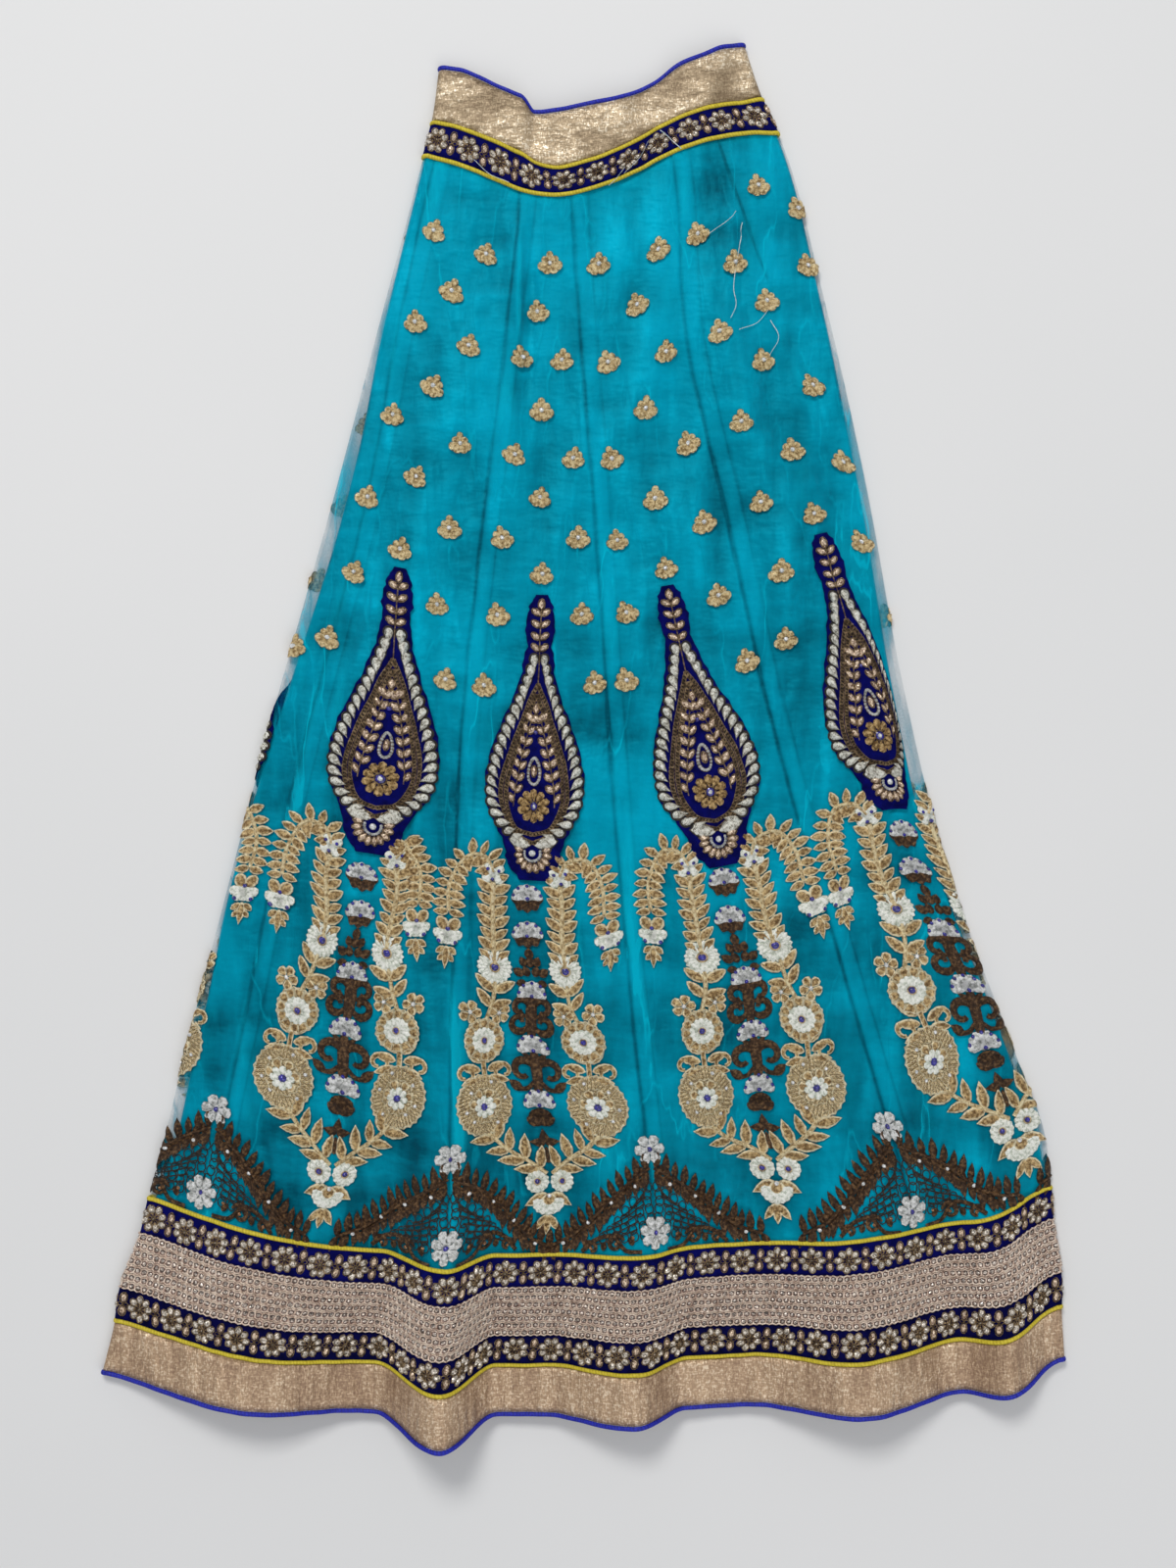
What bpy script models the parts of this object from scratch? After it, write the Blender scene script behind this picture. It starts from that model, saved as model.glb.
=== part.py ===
"""A flared lehenga skirt laid flat on a surface, front up, in metres.

Eight net gores lie over eight lining gores. A tissue waistband and a velvet trim close the top; two velvet
trims, a braided trim and a tissue band make the hem. Piping cords run between them and along both edges. A
padded velvet patch lies on each front gore. Every piece follows one middle surface, a flattened tube: the back
lies flat on the floor, and the front lies over it and rises in folds at the hem.
+Y runs from the hem towards the waist, +X to the right of the front, +Z up.
"""

import math
from collections import namedtuple

import bpy
import numpy as np

# ---- Driving sizes, in metres ----
NET_WALL = 0.0010
LINING_WALL = 0.0010
SEAM_GAP = 0.0003
LAY_HEIGHT = 0.0080          # the front's middle surface above the floor at its side folds
PUFF = 0.0030                # how much higher it lies between them
SKIRT_LENGTH = 1.031         # waist edge to hem edge, along the cloth
CORD_RADIUS = 0.0015         # piping
CORD_SLOT = 0.0038           # the length of cloth that a piping takes up
CORD_STAND = 0.0004          # how far a cord's centre stands out of the front
WAIST_TISSUE = 0.0404        # waistband, between its pipings
WAIST_VELVET = 0.0226        # trim below it
HEM_VELVET = 0.0238          # each of the two velvet trims at the hem
HEM_CHAIN = 0.0434           # braided trim
HEM_TISSUE = 0.0366          # tissue band at the hem
VELVET_STAND = 0.0006        # how much thicker than the net the trims are on the front
CHAIN_STAND = 0.0009
BAND_BACKING = 0.0018        # a band's inner face, below its middle surface
PATCH_SEAT = 0.0007          # a patch's flat facets clear the net's by this much
PATCH_EDGE = 0.0012          # patch thickness at its rim
PATCH_CROWN = 0.0028         # and along its middle
PATCH_MARGIN = 0.050         # the share of the front, by its right fold, that turns away and squeezes a patch
GORES = 8

# ---- Where the cloth lies: one row for each section from the waist down ----
# The two side folds, the shares of the front's width at which its four seams lie, and the share of the back's
# width, from the right, at which seam 5 lies.
Section = namedtuple(
    "Section", "down left_x left_y right_x right_y seam_1 seam_2 seam_3 seam_4 seam_5"
)
SECTIONS = [
    Section(0.000, -0.1098, 0.5203, 0.1225, 0.5381, 0.020, 0.266, 0.416, 0.704, 0.020),
    Section(0.045, -0.1158, 0.4778, 0.1370, 0.4958, 0.020, 0.266, 0.416, 0.704, 0.020),
    Section(0.074, -0.1228, 0.4500, 0.1498, 0.4678, 0.020, 0.266, 0.416, 0.704, 0.020),
    Section(0.200, -0.1549, 0.3283, 0.1838, 0.3455, 0.025, 0.272, 0.453, 0.690, 0.020),
    Section(0.350, -0.1931, 0.1835, 0.2168, 0.1988, 0.032, 0.276, 0.497, 0.744, 0.025),
    Section(0.500, -0.2340, 0.0386, 0.2438, 0.0520, 0.043, 0.292, 0.532, 0.789, 0.050),
    Section(0.650, -0.2719, -0.1064, 0.2798, -0.0948, 0.050, 0.312, 0.551, 0.827, 0.080),
    Section(0.800, -0.3090, -0.2513, 0.3338, -0.2415, 0.048, 0.322, 0.554, 0.838, 0.095),
    Section(0.850, -0.3203, -0.2993, 0.3518, -0.2903, 0.048, 0.324, 0.556, 0.842, 0.095),
    Section(0.894, -0.3317, -0.3420, 0.3570, -0.3338, 0.050, 0.325, 0.562, 0.848, 0.095),
    Section(0.923, -0.3383, -0.3713, 0.3585, -0.3600, 0.050, 0.326, 0.564, 0.850, 0.095),
    Section(0.965, -0.3536, -0.4118, 0.3645, -0.4001, 0.052, 0.328, 0.566, 0.852, 0.095),
    Section(0.992, -0.3576, -0.4380, 0.3650, -0.4275, 0.052, 0.328, 0.566, 0.852, 0.095),
    Section(1.031, -0.3671, -0.4763, 0.3672, -0.4661, 0.052, 0.328, 0.566, 0.852, 0.095),
]

# How far a level line of the cloth lies below the straight line between the side folds, across the front: at
# the waist edge, above and below the velvet trim there, at mid length, low down, at the net's end, and at the hem.
DROP_DOWN = (0.0, 0.045, 0.074, 0.400, 0.620, 0.895, 1.031)
Drop = namedtuple("Drop", "across edge upper lower middle low net hem")
DROPS = [
    Drop(0.00, 0.000, 0.000, 0.000, 0.000, 0.000, 0.000, 0.000),
    Drop(0.06, 0.003, 0.005, 0.006, 0.006, 0.006, 0.014, 0.010),
    Drop(0.12, 0.011, 0.012, 0.013, 0.013, 0.014, 0.025, 0.018),
    Drop(0.20, 0.0245, 0.022, 0.023, 0.021, 0.022, 0.036, 0.026),
    Drop(0.28, 0.0345, 0.032, 0.032, 0.029, 0.032, 0.042, 0.031),
    Drop(0.38, 0.0377, 0.041, 0.037, 0.035, 0.040, 0.045, 0.034),
    Drop(0.48, 0.037, 0.038, 0.033, 0.036, 0.043, 0.045, 0.034),
    Drop(0.60, 0.0335, 0.028, 0.023, 0.033, 0.038, 0.041, 0.031),
    Drop(0.70, 0.026, 0.016, 0.011, 0.026, 0.033, 0.037, 0.029),
    Drop(0.80, 0.012, 0.007, 0.003, 0.013, 0.020, 0.032, 0.026),
    Drop(0.88, 0.0064, 0.003, 0.000, 0.002, 0.008, 0.027, 0.023),
    Drop(0.94, 0.0015, 0.002, -0.001, -0.003, -0.002, 0.019, 0.018),
    Drop(1.00, 0.000, 0.000, 0.000, 0.000, 0.000, 0.000, 0.000),
]
CENTRE_X = 0.00018           # the origin, under the middle of the skirt, in the table's coordinates
CENTRE_Y = 0.00924
BACK_SAG = 0.0240            # the back's level lines are even curves that drop this far
WAIST_BACK_SAG = 0.0470      # and this far at the waist, so that the front hides the back's edge
WAIST_BACK_REACH = 0.250     # the distance down over which the one passes into the other

# Folds of the front that rise at the hem and die out up the skirt: where the crest lies across the front at
# the hem and at its top end, how far each flank spreads, how high it rises, how far up it reaches, and how far
# it throws the hem outwards.
HemFold = namedtuple("HemFold", "across top left right rise reach throw")
HEM_FOLDS = [
    HemFold(0.146, 0.150, 0.140, 0.125, 0.030, 0.34, 0.000),
    HemFold(0.354, 0.270, 0.076, 0.056, 0.046, 0.48, 0.014),
    HemFold(0.552, 0.540, 0.100, 0.056, 0.034, 0.40, 0.004),
    HemFold(0.787, 0.760, 0.115, 0.108, 0.036, 0.40, 0.004),
    HemFold(0.945, 0.930, 0.050, 0.050, 0.022, 0.26, 0.003),
]

# Long soft folds in the body: their line from one end to the other, half width, and rise.
BodyFold = namedtuple("BodyFold", "from_down from_across to_down to_across half rise")
BODY_FOLDS = [
    BodyFold(0.050, 0.262, 0.360, 0.330, 0.045, 0.0045),
    BodyFold(0.180, 0.120, 0.700, 0.190, 0.060, 0.0030),
    BodyFold(0.330, 0.380, 0.820, 0.300, 0.060, 0.0040),
    BodyFold(0.420, 0.620, 0.860, 0.680, 0.070, 0.0040),
    BodyFold(0.080, 0.740, 0.560, 0.880, 0.060, 0.0035),
]

# The waistband folds sharply where its left part lies over the right part.
WAIST_FOLD = 0.282           # across the front
WAIST_FOLD_WIDTH = 0.045     # and the share of the front that the step takes
WAIST_FOLD_STEP = 0.0080     # how far the edge steps down there
WAIST_FOLD_RISE = 0.0050
WAIST_FOLD_REACH = 0.070     # how far down the step dies out

# Teardrop patches: where the tip, the middle and the foot lie across the front, how far down, and how wide the
# body of each is as a share of the table's width.
Patch = namedtuple("Patch", "name tip_across mid_across foot_across tip_down foot_down wide")
PATCHES = [
    Patch("patch_1", 0.143, 0.175, 0.181, 0.384, 0.603, 1.05),
    Patch("patch_2", 0.401, 0.413, 0.420, 0.388, 0.605, 0.94),
    Patch("patch_3", 0.628, 0.676, 0.698, 0.388, 0.606, 0.99),
    Patch("patch_4", 0.906, 0.942, 0.949, 0.385, 0.601, 0.76),
]
# Half widths of a patch along its length, from the tip to the foot.
PatchWidth = namedtuple("PatchWidth", "along half")
PATCH_WIDTHS = [
    PatchWidth(0.00, 0.0045),
    PatchWidth(0.06, 0.0098),
    PatchWidth(0.20, 0.0105),
    PatchWidth(0.30, 0.0150),
    PatchWidth(0.40, 0.0225),
    PatchWidth(0.50, 0.0315),
    PatchWidth(0.60, 0.0380),
    PatchWidth(0.67, 0.0395),
    PatchWidth(0.76, 0.0365),
    PatchWidth(0.87, 0.0242),
    PatchWidth(0.93, 0.0210),
    PatchWidth(1.00, 0.0105),
]

# ---- Mesh counts ----
GORE_COLUMNS = 14
GORE_ROWS = 9
FOLD_COLUMNS = 6
HEM_SKIP = 1                 # a ring takes every column of the front gores at the hem
WAIST_SKIP = 2               # and every second one at the waist
CORD_SIDES = 6

# ---- Sizes worked out from those ----
FOLD_RADIUS = (LAY_HEIGHT - NET_WALL / 2) / 2
FOLD_CENTRE = NET_WALL / 2 + FOLD_RADIUS
LINING_OUTER = NET_WALL / 2 + SEAM_GAP
LINING_INNER = LINING_OUTER + LINING_WALL


# ---- The middle surface ----
def column(rows, name):
    return np.array([getattr(row, name) for row in rows])


def smooth(at, knots, values):
    """A cubic curve through a table's rows, with its slopes taken from the neighbouring rows."""
    at = np.clip(at, knots[0], knots[-1])
    slopes = np.gradient(values, knots)
    i = np.clip(np.searchsorted(knots, at, side="right") - 1, 0, len(knots) - 2)
    span = knots[i + 1] - knots[i]
    t = (at - knots[i]) / span
    return (
        (2 * t**3 - 3 * t**2 + 1) * values[i]
        + (t**3 - 2 * t**2 + t) * span * slopes[i]
        + (3 * t**2 - 2 * t**3) * values[i + 1]
        + (t**3 - t**2) * span * slopes[i + 1]
    )


def section(name, down):
    return smooth(down, column(SECTIONS, "down"), column(SECTIONS, name))


def bell(distance):
    """1 at a crest and 0 one half width away from it, with level ends."""
    return np.where(np.abs(distance) < 1, np.cos(np.clip(distance, -1, 1) * math.pi / 2) ** 2, 0)


def ramp(t):
    """0 to 1 as t goes from 0 to 1, with level ends."""
    t = np.clip(t, 0, 1)
    return t * t * (3 - 2 * t)


def level_drop(across, down):
    """How far the front's level line at a distance down lies below the line between the side folds."""
    knots = column(DROPS, "across")
    total = 0
    for i, name in enumerate(Drop._fields[1:]):
        before = DROP_DOWN[i - 1] if i else DROP_DOWN[i] - 1
        after = DROP_DOWN[i + 1] if i < len(DROP_DOWN) - 1 else DROP_DOWN[i] + 1
        here = DROP_DOWN[i]
        share = np.where(
            down < here, ramp((down - before) / (here - before)), ramp((after - down) / (after - here))
        )
        total = total + share * smooth(across, knots, column(DROPS, name))
    return total


def hem_fold_shapes(across, down):
    """Each hem fold with its share of full height at a point: a bell across it that grows down to the hem."""
    for fold in HEM_FOLDS:
        grown = np.clip((down - SKIRT_LENGTH + fold.reach) / fold.reach, 0, 1.2)
        distance = across - (fold.top + (fold.across - fold.top) * grown)
        flank = np.where(distance < 0, fold.left, fold.right)
        yield fold, bell(distance / flank) * grown**2


def body_fold_height(across, down):
    height = 0
    for fold in BODY_FOLDS:
        t = (down - fold.from_down) / (fold.to_down - fold.from_down)
        line = fold.from_across + (fold.to_across - fold.from_across) * t
        ends = ramp(2.5 * t) * ramp(2.5 * (1 - t))
        height = height + fold.rise * bell((across - line) / fold.half) * ends
    return height


def fold_ends(down):
    """The centres of the two side folds at a distance down, and the unit direction from left to right."""
    left = np.stack([section("left_x", down) - CENTRE_X, section("left_y", down) - CENTRE_Y], -1)
    right = np.stack([section("right_x", down) - CENTRE_X, section("right_y", down) - CENTRE_Y], -1)
    along = (right - left) / np.linalg.norm(right - left, axis=-1, keepdims=True)
    inset = FOLD_RADIUS + NET_WALL / 2
    return left + along * inset, right - along * inset, along


def lay(across, down, drop, height):
    left, right, _ = fold_ends(down)
    place = left + (right - left) * across[..., None]
    return np.stack([place[..., 0], place[..., 1] - drop, height], -1)


def front(across, down):
    """The middle surface of the front at a share of its width and a distance down from the waist edge."""
    drop = level_drop(across, down)
    height = LAY_HEIGHT + PUFF * ramp(across / 0.12) * ramp((1 - across) / 0.12)
    height = height + body_fold_height(across, down)
    for fold, share in hem_fold_shapes(across, down):
        height = height + fold.rise * share
        drop = drop + fold.throw * share
    left_side = 1 - ramp((across - WAIST_FOLD) / WAIST_FOLD_WIDTH + 0.5)
    near_fold = bell((across - WAIST_FOLD) / 0.22) * ramp(1 - down / WAIST_FOLD_REACH)
    drop = drop + WAIST_FOLD_STEP * (0.5 - left_side) * near_fold
    height = height + WAIST_FOLD_RISE * left_side * near_fold
    return lay(across, down, drop, height)


def back(across, down):
    """The middle surface of the back, flat on the floor."""
    sag = BACK_SAG + (WAIST_BACK_SAG - BACK_SAG) * ramp(1 - down / WAIST_BACK_REACH)
    drop = 4 * sag * across * (1 - across)
    return lay(across, down, drop, np.full_like(drop, NET_WALL / 2))


def side_fold(down, turn, outwards, centre):
    """The rounded edge: turn 0 is its top, where the front ends, and turn 1 its foot, on the floor."""
    angle = turn * math.pi
    place = centre + outwards * (FOLD_RADIUS * np.sin(angle))[..., None]
    return np.stack([place[..., 0], place[..., 1], FOLD_CENTRE + FOLD_RADIUS * np.cos(angle)], -1)


def middle(station, down):
    """The middle surface. Station 0 to 1 crosses the front from left to right, 1 to 2 goes round the right
    fold, 2 to 3 crosses the back from right to left, and 3 to 4 goes round the left fold."""
    station, down = np.broadcast_arrays(np.asarray(station, float) % 4, np.asarray(down, float))
    left, right, along = fold_ends(down)
    part = np.floor(station).astype(int)[..., None]
    place = front(np.clip(station, 0, 1), down)
    place = np.where(part == 1, side_fold(down, np.clip(station - 1, 0, 1), along, right), place)
    place = np.where(part == 2, back(np.clip(3 - station, 0, 1), down), place)
    return np.where(part == 3, side_fold(down, np.clip(4 - station, 0, 1), -along, left), place)


def unit(vectors):
    return vectors / np.linalg.norm(vectors, axis=-1, keepdims=True)


def surface(station, down):
    """The middle surface with its unit directions: round the skirt, down it, and outwards."""
    station, down = np.broadcast_arrays(np.asarray(station, float), np.asarray(down, float))
    reach = section("right_x", down) - section("left_x", down)
    flat = (station % 4 < 1) | ((station % 4 >= 2) & (station % 4 < 3))
    step = np.where(flat, 2e-4 / reach, 2e-4 / (math.pi * FOLD_RADIUS))
    around = unit(middle(station + step, down) - middle(station - step, down))
    along = unit(middle(station, down + 2e-4) - middle(station, down - 2e-4))
    return middle(station, down), around, along, unit(np.cross(along, around))


def front_share(points):
    """0 where the cloth lies on the floor, 1 on the front, and between them round the side folds."""
    return np.clip((points[..., 2] - NET_WALL / 2) / (LAY_HEIGHT - NET_WALL / 2), 0, 1)[..., None]


# ---- Columns and rows of the meshes ----
def even_across(first, last, count):
    """Shares across the front that cut the hem into even lengths of cloth, folds included."""
    fine = np.linspace(first, last, 400)
    hem = middle(np.clip(fine, 0, 0.99999), 0.96)
    length = np.concatenate([[0], np.cumsum(np.linalg.norm(np.diff(hem, axis=0), axis=1))])
    return np.interp(np.linspace(0, length[-1], count + 1), length, fine)


def gore_stations(number, down):
    """Stations of a gore's columns at each row: an array of rows by columns."""
    if number < 4:
        ends = [section(f"seam_{n}", SKIRT_LENGTH) for n in (number, number + 1)]
        shares = (even_across(*ends, GORE_COLUMNS) - ends[0]) / (ends[1] - ends[0])
        first = section(f"seam_{number}", down)[:, None]
        last = section(f"seam_{number + 1}", down)[:, None]
        return first + (last - first) * shares
    back_seams = {5 + n: 2 + section("seam_5", down) + 0.255 * n for n in range(4)}
    if number == 4:
        parts = [(section("seam_4", down), 1, 8), (1, 2, FOLD_COLUMNS), (2, back_seams[5], 2)]
    elif number == 8:
        parts = [(back_seams[8], 3, 2), (3, 4, FOLD_COLUMNS), (4, 4 + section("seam_1", down), 4)]
    else:
        parts = [(back_seams[number], back_seams[number + 1], 3)]
    columns = [np.broadcast_to(parts[0][0], down.shape)[:, None]]
    for first, last, count in parts:
        steps = np.linspace(0, 1, count + 1)[1:]
        first = np.broadcast_to(first, down.shape)[:, None]
        last = np.broadcast_to(last, down.shape)[:, None]
        columns.append(first + (last - first) * steps)
    return np.concatenate(columns, 1)


def ring_stations(downs, skip):
    """Stations of a ring's columns at each row: the gores' own, or every skip-th one across the front."""
    gores = [gore_stations(number, downs)[:, :-1] for number in range(1, GORES + 1)]
    return np.concatenate([g[:, ::skip] if n < 3 else g for n, g in enumerate(gores)], 1)


# ---- Solids ----
def make_object(name, points, faces, colour, roughness, metallic=0.0):
    mesh = bpy.data.meshes.new(name)
    mesh.from_pydata([tuple(p) for p in points], [], faces)
    mesh.update()
    for polygon in mesh.polygons:
        polygon.use_smooth = True
    material = bpy.data.materials.new(name + "_material")
    material.use_nodes = True
    shader = material.node_tree.nodes["Principled BSDF"]
    shader.inputs["Base Color"].default_value = (*colour, 1)
    shader.inputs["Roughness"].default_value = roughness
    shader.inputs["Metallic"].default_value = metallic
    mesh.materials.append(material)
    piece = bpy.data.objects.new(name, mesh)
    bpy.context.collection.objects.link(piece)
    return piece


def wall(name, outer, inner, closed, *look):
    """A closed sheet between two grids of rows by columns, outer facing out. A closed one joins up all round."""
    rows, columns = outer.shape[:2]
    index = np.arange(rows * columns).reshape(rows, columns)
    if closed:
        index = np.concatenate([index, index[:, :1]], 1)
    top_left, top_right = index[:-1, :-1].ravel(), index[:-1, 1:].ravel()
    low_left, low_right = index[1:, :-1].ravel(), index[1:, 1:].ravel()
    upper = np.stack([top_left, low_left, low_right], 1)
    lower = np.stack([top_left, low_right, top_right], 1)
    face = np.concatenate([upper, lower])
    inside = rows * columns
    faces = [face, face[:, ::-1] + inside]
    loops = [index[0, ::-1], index[-1]]
    if not closed:
        loops += [index[:, 0], index[::-1, -1]]
    for loop in loops:
        a, b = loop[:-1], loop[1:]
        faces.append(np.stack([a, a + inside, b + inside], 1))
        faces.append(np.stack([a, b + inside, b], 1))
    points = np.concatenate([outer.reshape(-1, 3), inner.reshape(-1, 3)])
    return make_object(name, points, np.concatenate(faces).tolist(), *look)


def gore_grid(number, downs):
    """A gore's middle points and outward directions, half a seam gap in from its neighbours."""
    stations = gore_stations(number, downs)
    points, around, _, out = surface(stations, downs[:, None])
    points[:, 0] += around[:, 0] * SEAM_GAP / 2
    points[:, -1] -= around[:, -1] * SEAM_GAP / 2
    return points, out


def band(name, start, end, rows, skip, stand, *look):
    """A trim or waistband: a ring from one distance down to another."""
    downs = np.linspace(start + SEAM_GAP / 2, end - SEAM_GAP / 2, rows + 1)
    points, _, _, out = surface(ring_stations(downs, skip), downs[:, None])
    outer = points + out * (NET_WALL / 2 + stand * front_share(points))
    return wall(name, outer, points - out * BAND_BACKING, True, *look)


def cord(name, down, skip, *look):
    """A piping: a round ring whose foot rests on the floor at the back and which stands out on the front."""
    points, around, along, out = surface(ring_stations(np.array([down]), skip)[0], down)
    aside = np.cross(around, out)
    aside = aside * np.sum(aside * along, -1, keepdims=True)
    share = front_share(points)
    centre = points + out * (CORD_STAND * share - (CORD_RADIUS - NET_WALL / 2) * (1 - share))
    turns = (np.arange(CORD_SIDES) + 0.5) * 2 * math.pi / CORD_SIDES
    radius = CORD_RADIUS / math.cos(math.pi / CORD_SIDES)
    cosines = (radius * np.cos(turns))[:, None, None]
    sines = (radius * np.sin(turns))[:, None, None]
    rings = centre + cosines * out + sines * aside * 0.84
    count = len(points)
    index = np.arange(CORD_SIDES * count).reshape(CORD_SIDES, count)
    index = np.concatenate([index, index[:1]])
    index = np.concatenate([index, index[:, :1]], 1)
    a, b = index[:-1, :-1].ravel(), index[:-1, 1:].ravel()
    c, d = index[1:, :-1].ravel(), index[1:, 1:].ravel()
    faces = np.concatenate([np.stack([a, c, d], 1), np.stack([a, d, b], 1)])
    return make_object(name, rings.reshape(-1, 3), faces.tolist(), *look)


def on_facets(grids, across, down, downs):
    """Points and outward directions of the front's flat mesh triangles at given places, so that a patch lies
    on the same facets as its gore."""
    points = np.empty(across.shape + (3,))
    outs = np.empty(across.shape + (3,))
    for place in np.ndindex(across.shape):
        row = min(int(np.searchsorted(downs, down[place], side="right")) - 1, len(downs) - 2)
        v = (down[place] - downs[row]) / (downs[row + 1] - downs[row])
        for stations, grid, out in grids:
            line = stations[row] + (stations[row + 1] - stations[row]) * v
            if not line[0] <= across[place] <= line[-1]:
                continue
            col = min(int(np.searchsorted(line, across[place], side="right")) - 1, len(line) - 2)
            u = (across[place] - line[col]) / (line[col + 1] - line[col])
            corners = [(row, col), (row + 1, col + 1)]
            corners.append((row + 1, col) if v >= u else (row, col + 1))
            shares = [1 - max(u, v), min(u, v), abs(v - u)]
            points[place] = sum(s * grid[c] for s, c in zip(shares, corners))
            outs[place] = sum(s * out[c] for s, c in zip(shares, corners))
    return points, unit(outs)


def patch(row, grids, downs, *look):
    """A padded teardrop: thin at its rim, thicker along its middle, on the outside of the net."""
    along = np.linspace(0, 1, 13)[:, None]
    side = np.array([-1, -0.8, -0.55, -0.28, 0, 0.28, 0.55, 0.8, 1])[None, :]
    half = smooth(along, column(PATCH_WIDTHS, "along"), column(PATCH_WIDTHS, "half"))
    half = half * (1 + (row.wide - 1) * ramp(along / 0.3) * ramp((1 - along) / 0.15))
    down = row.tip_down + (row.foot_down - row.tip_down) * along + 0 * side
    width = section("right_x", down) - section("left_x", down) - 2 * FOLD_RADIUS - NET_WALL
    middles = np.array([row.tip_across, row.mid_across, row.foot_across])
    across = smooth(along, np.array([0, 0.53, 1]), middles) + side * half / width
    near = 1 - PATCH_MARGIN
    squeezed = near + (PATCH_MARGIN - 0.004) * (1 - np.exp((near - across) / (PATCH_MARGIN - 0.004)))
    points, out = on_facets(grids, np.where(across > near, squeezed, across), down, downs)
    base = NET_WALL / 2 + PATCH_SEAT
    bulge = (1 - side**2) * ramp(along / 0.15) * ramp((1 - along) / 0.15)
    thick = PATCH_EDGE + (PATCH_CROWN - PATCH_EDGE) * bulge
    return wall(row.name, points + out * (base + thick)[..., None], points + out * base, False, *look)


# ---- Build ----
for old in list(bpy.data.objects):
    bpy.data.objects.remove(old, do_unlink=True)

TURQUOISE = (0.000, 0.300, 0.400)
NET_HAZE = (0.100, 0.480, 0.540)
NAVY = (0.012, 0.010, 0.180)
GOLD_TISSUE = (0.480, 0.330, 0.190)
ROSE_CHAIN = (0.600, 0.420, 0.320)
YELLOW = (0.680, 0.500, 0.040)
BLUE = (0.030, 0.035, 0.420)

waist_top = 0.0
cord_1 = waist_top + CORD_SLOT / 2
tissue_top = waist_top + CORD_SLOT
tissue_end = tissue_top + WAIST_TISSUE
cord_2 = tissue_end + CORD_SLOT / 2
velvet_top = tissue_end + CORD_SLOT
velvet_end = velvet_top + WAIST_VELVET
cord_3 = velvet_end + CORD_SLOT / 2
net_top = velvet_end + CORD_SLOT
cord_6 = SKIRT_LENGTH - CORD_SLOT / 2
hem_tissue_end = SKIRT_LENGTH - CORD_SLOT
hem_tissue_top = hem_tissue_end - HEM_TISSUE
cord_5 = hem_tissue_top - CORD_SLOT / 2
low_velvet_end = hem_tissue_top - CORD_SLOT
low_velvet_top = low_velvet_end - HEM_VELVET
chain_top = low_velvet_top - HEM_CHAIN
high_velvet_top = chain_top - HEM_VELVET
cord_4 = high_velvet_top - CORD_SLOT / 2
net_end = high_velvet_top - CORD_SLOT

row_shares = np.linspace(0, 1, GORE_ROWS + 1) ** 0.92
gore_downs = net_top + (net_end - net_top) * row_shares
gore_downs[0] += SEAM_GAP / 2
gore_downs[-1] -= SEAM_GAP / 2
front_grids = []
for gore in range(1, GORES + 1):
    grid, outward = gore_grid(gore, gore_downs)
    if gore <= 4:
        front_grids.append((gore_stations(gore, gore_downs), grid, outward))
    wall(
        f"net_gore_{gore}", grid + outward * NET_WALL / 2, grid - outward * NET_WALL / 2, False, NET_HAZE, 0.6
    )
    wall(
        f"lining_gore_{gore}",
        grid - outward * LINING_OUTER,
        grid - outward * LINING_INNER,
        False,
        TURQUOISE,
        0.35,
    )

band("waist_tissue_band", tissue_top, tissue_end, 3, WAIST_SKIP, 0.0, GOLD_TISSUE, 0.35, 0.4)
band("waist_velvet_trim", velvet_top, velvet_end, 2, WAIST_SKIP, VELVET_STAND, NAVY, 0.8)
band("hem_upper_velvet_trim", high_velvet_top, chain_top, 2, HEM_SKIP, VELVET_STAND, NAVY, 0.8)
band("hem_braided_trim", chain_top, low_velvet_top, 3, HEM_SKIP, CHAIN_STAND, ROSE_CHAIN, 0.3, 0.6)
band("hem_lower_velvet_trim", low_velvet_top, low_velvet_end, 2, HEM_SKIP, VELVET_STAND, NAVY, 0.8)
band("hem_tissue_band", hem_tissue_top, hem_tissue_end, 2, HEM_SKIP, 0.0, GOLD_TISSUE, 0.4, 0.4)

cord("waist_edge_piping", cord_1, WAIST_SKIP, BLUE, 0.5)
cord("waist_upper_piping", cord_2, WAIST_SKIP, YELLOW, 0.5)
cord("waist_lower_piping", cord_3, WAIST_SKIP, YELLOW, 0.5)
cord("hem_upper_piping", cord_4, HEM_SKIP, YELLOW, 0.5)
cord("hem_lower_piping", cord_5, HEM_SKIP, YELLOW, 0.5)
cord("hem_edge_piping", cord_6, HEM_SKIP, BLUE, 0.5)

for patch_row in PATCHES:
    patch(patch_row, front_grids, gore_downs, NAVY, 0.8)
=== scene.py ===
"""Looks for the lehenga skirt that lies flat, front up: its cloth, trims, padded patches and embroidery.

Everything is worked out on one cloth surface, in metres: a flattened tube whose back lies on the floor and
whose front rises in folds at the hem. A place on it is a station round the skirt (0 to 1 across the front,
1 to 2 round the right fold, 2 to 3 across the back, 3 to 4 round the left fold) and a distance down from the
waist.
Embroidery is drawn flat, in the coordinates of one gore or of one trim, and laid on the cloth point by point.
"""

import math
from collections import namedtuple

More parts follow.
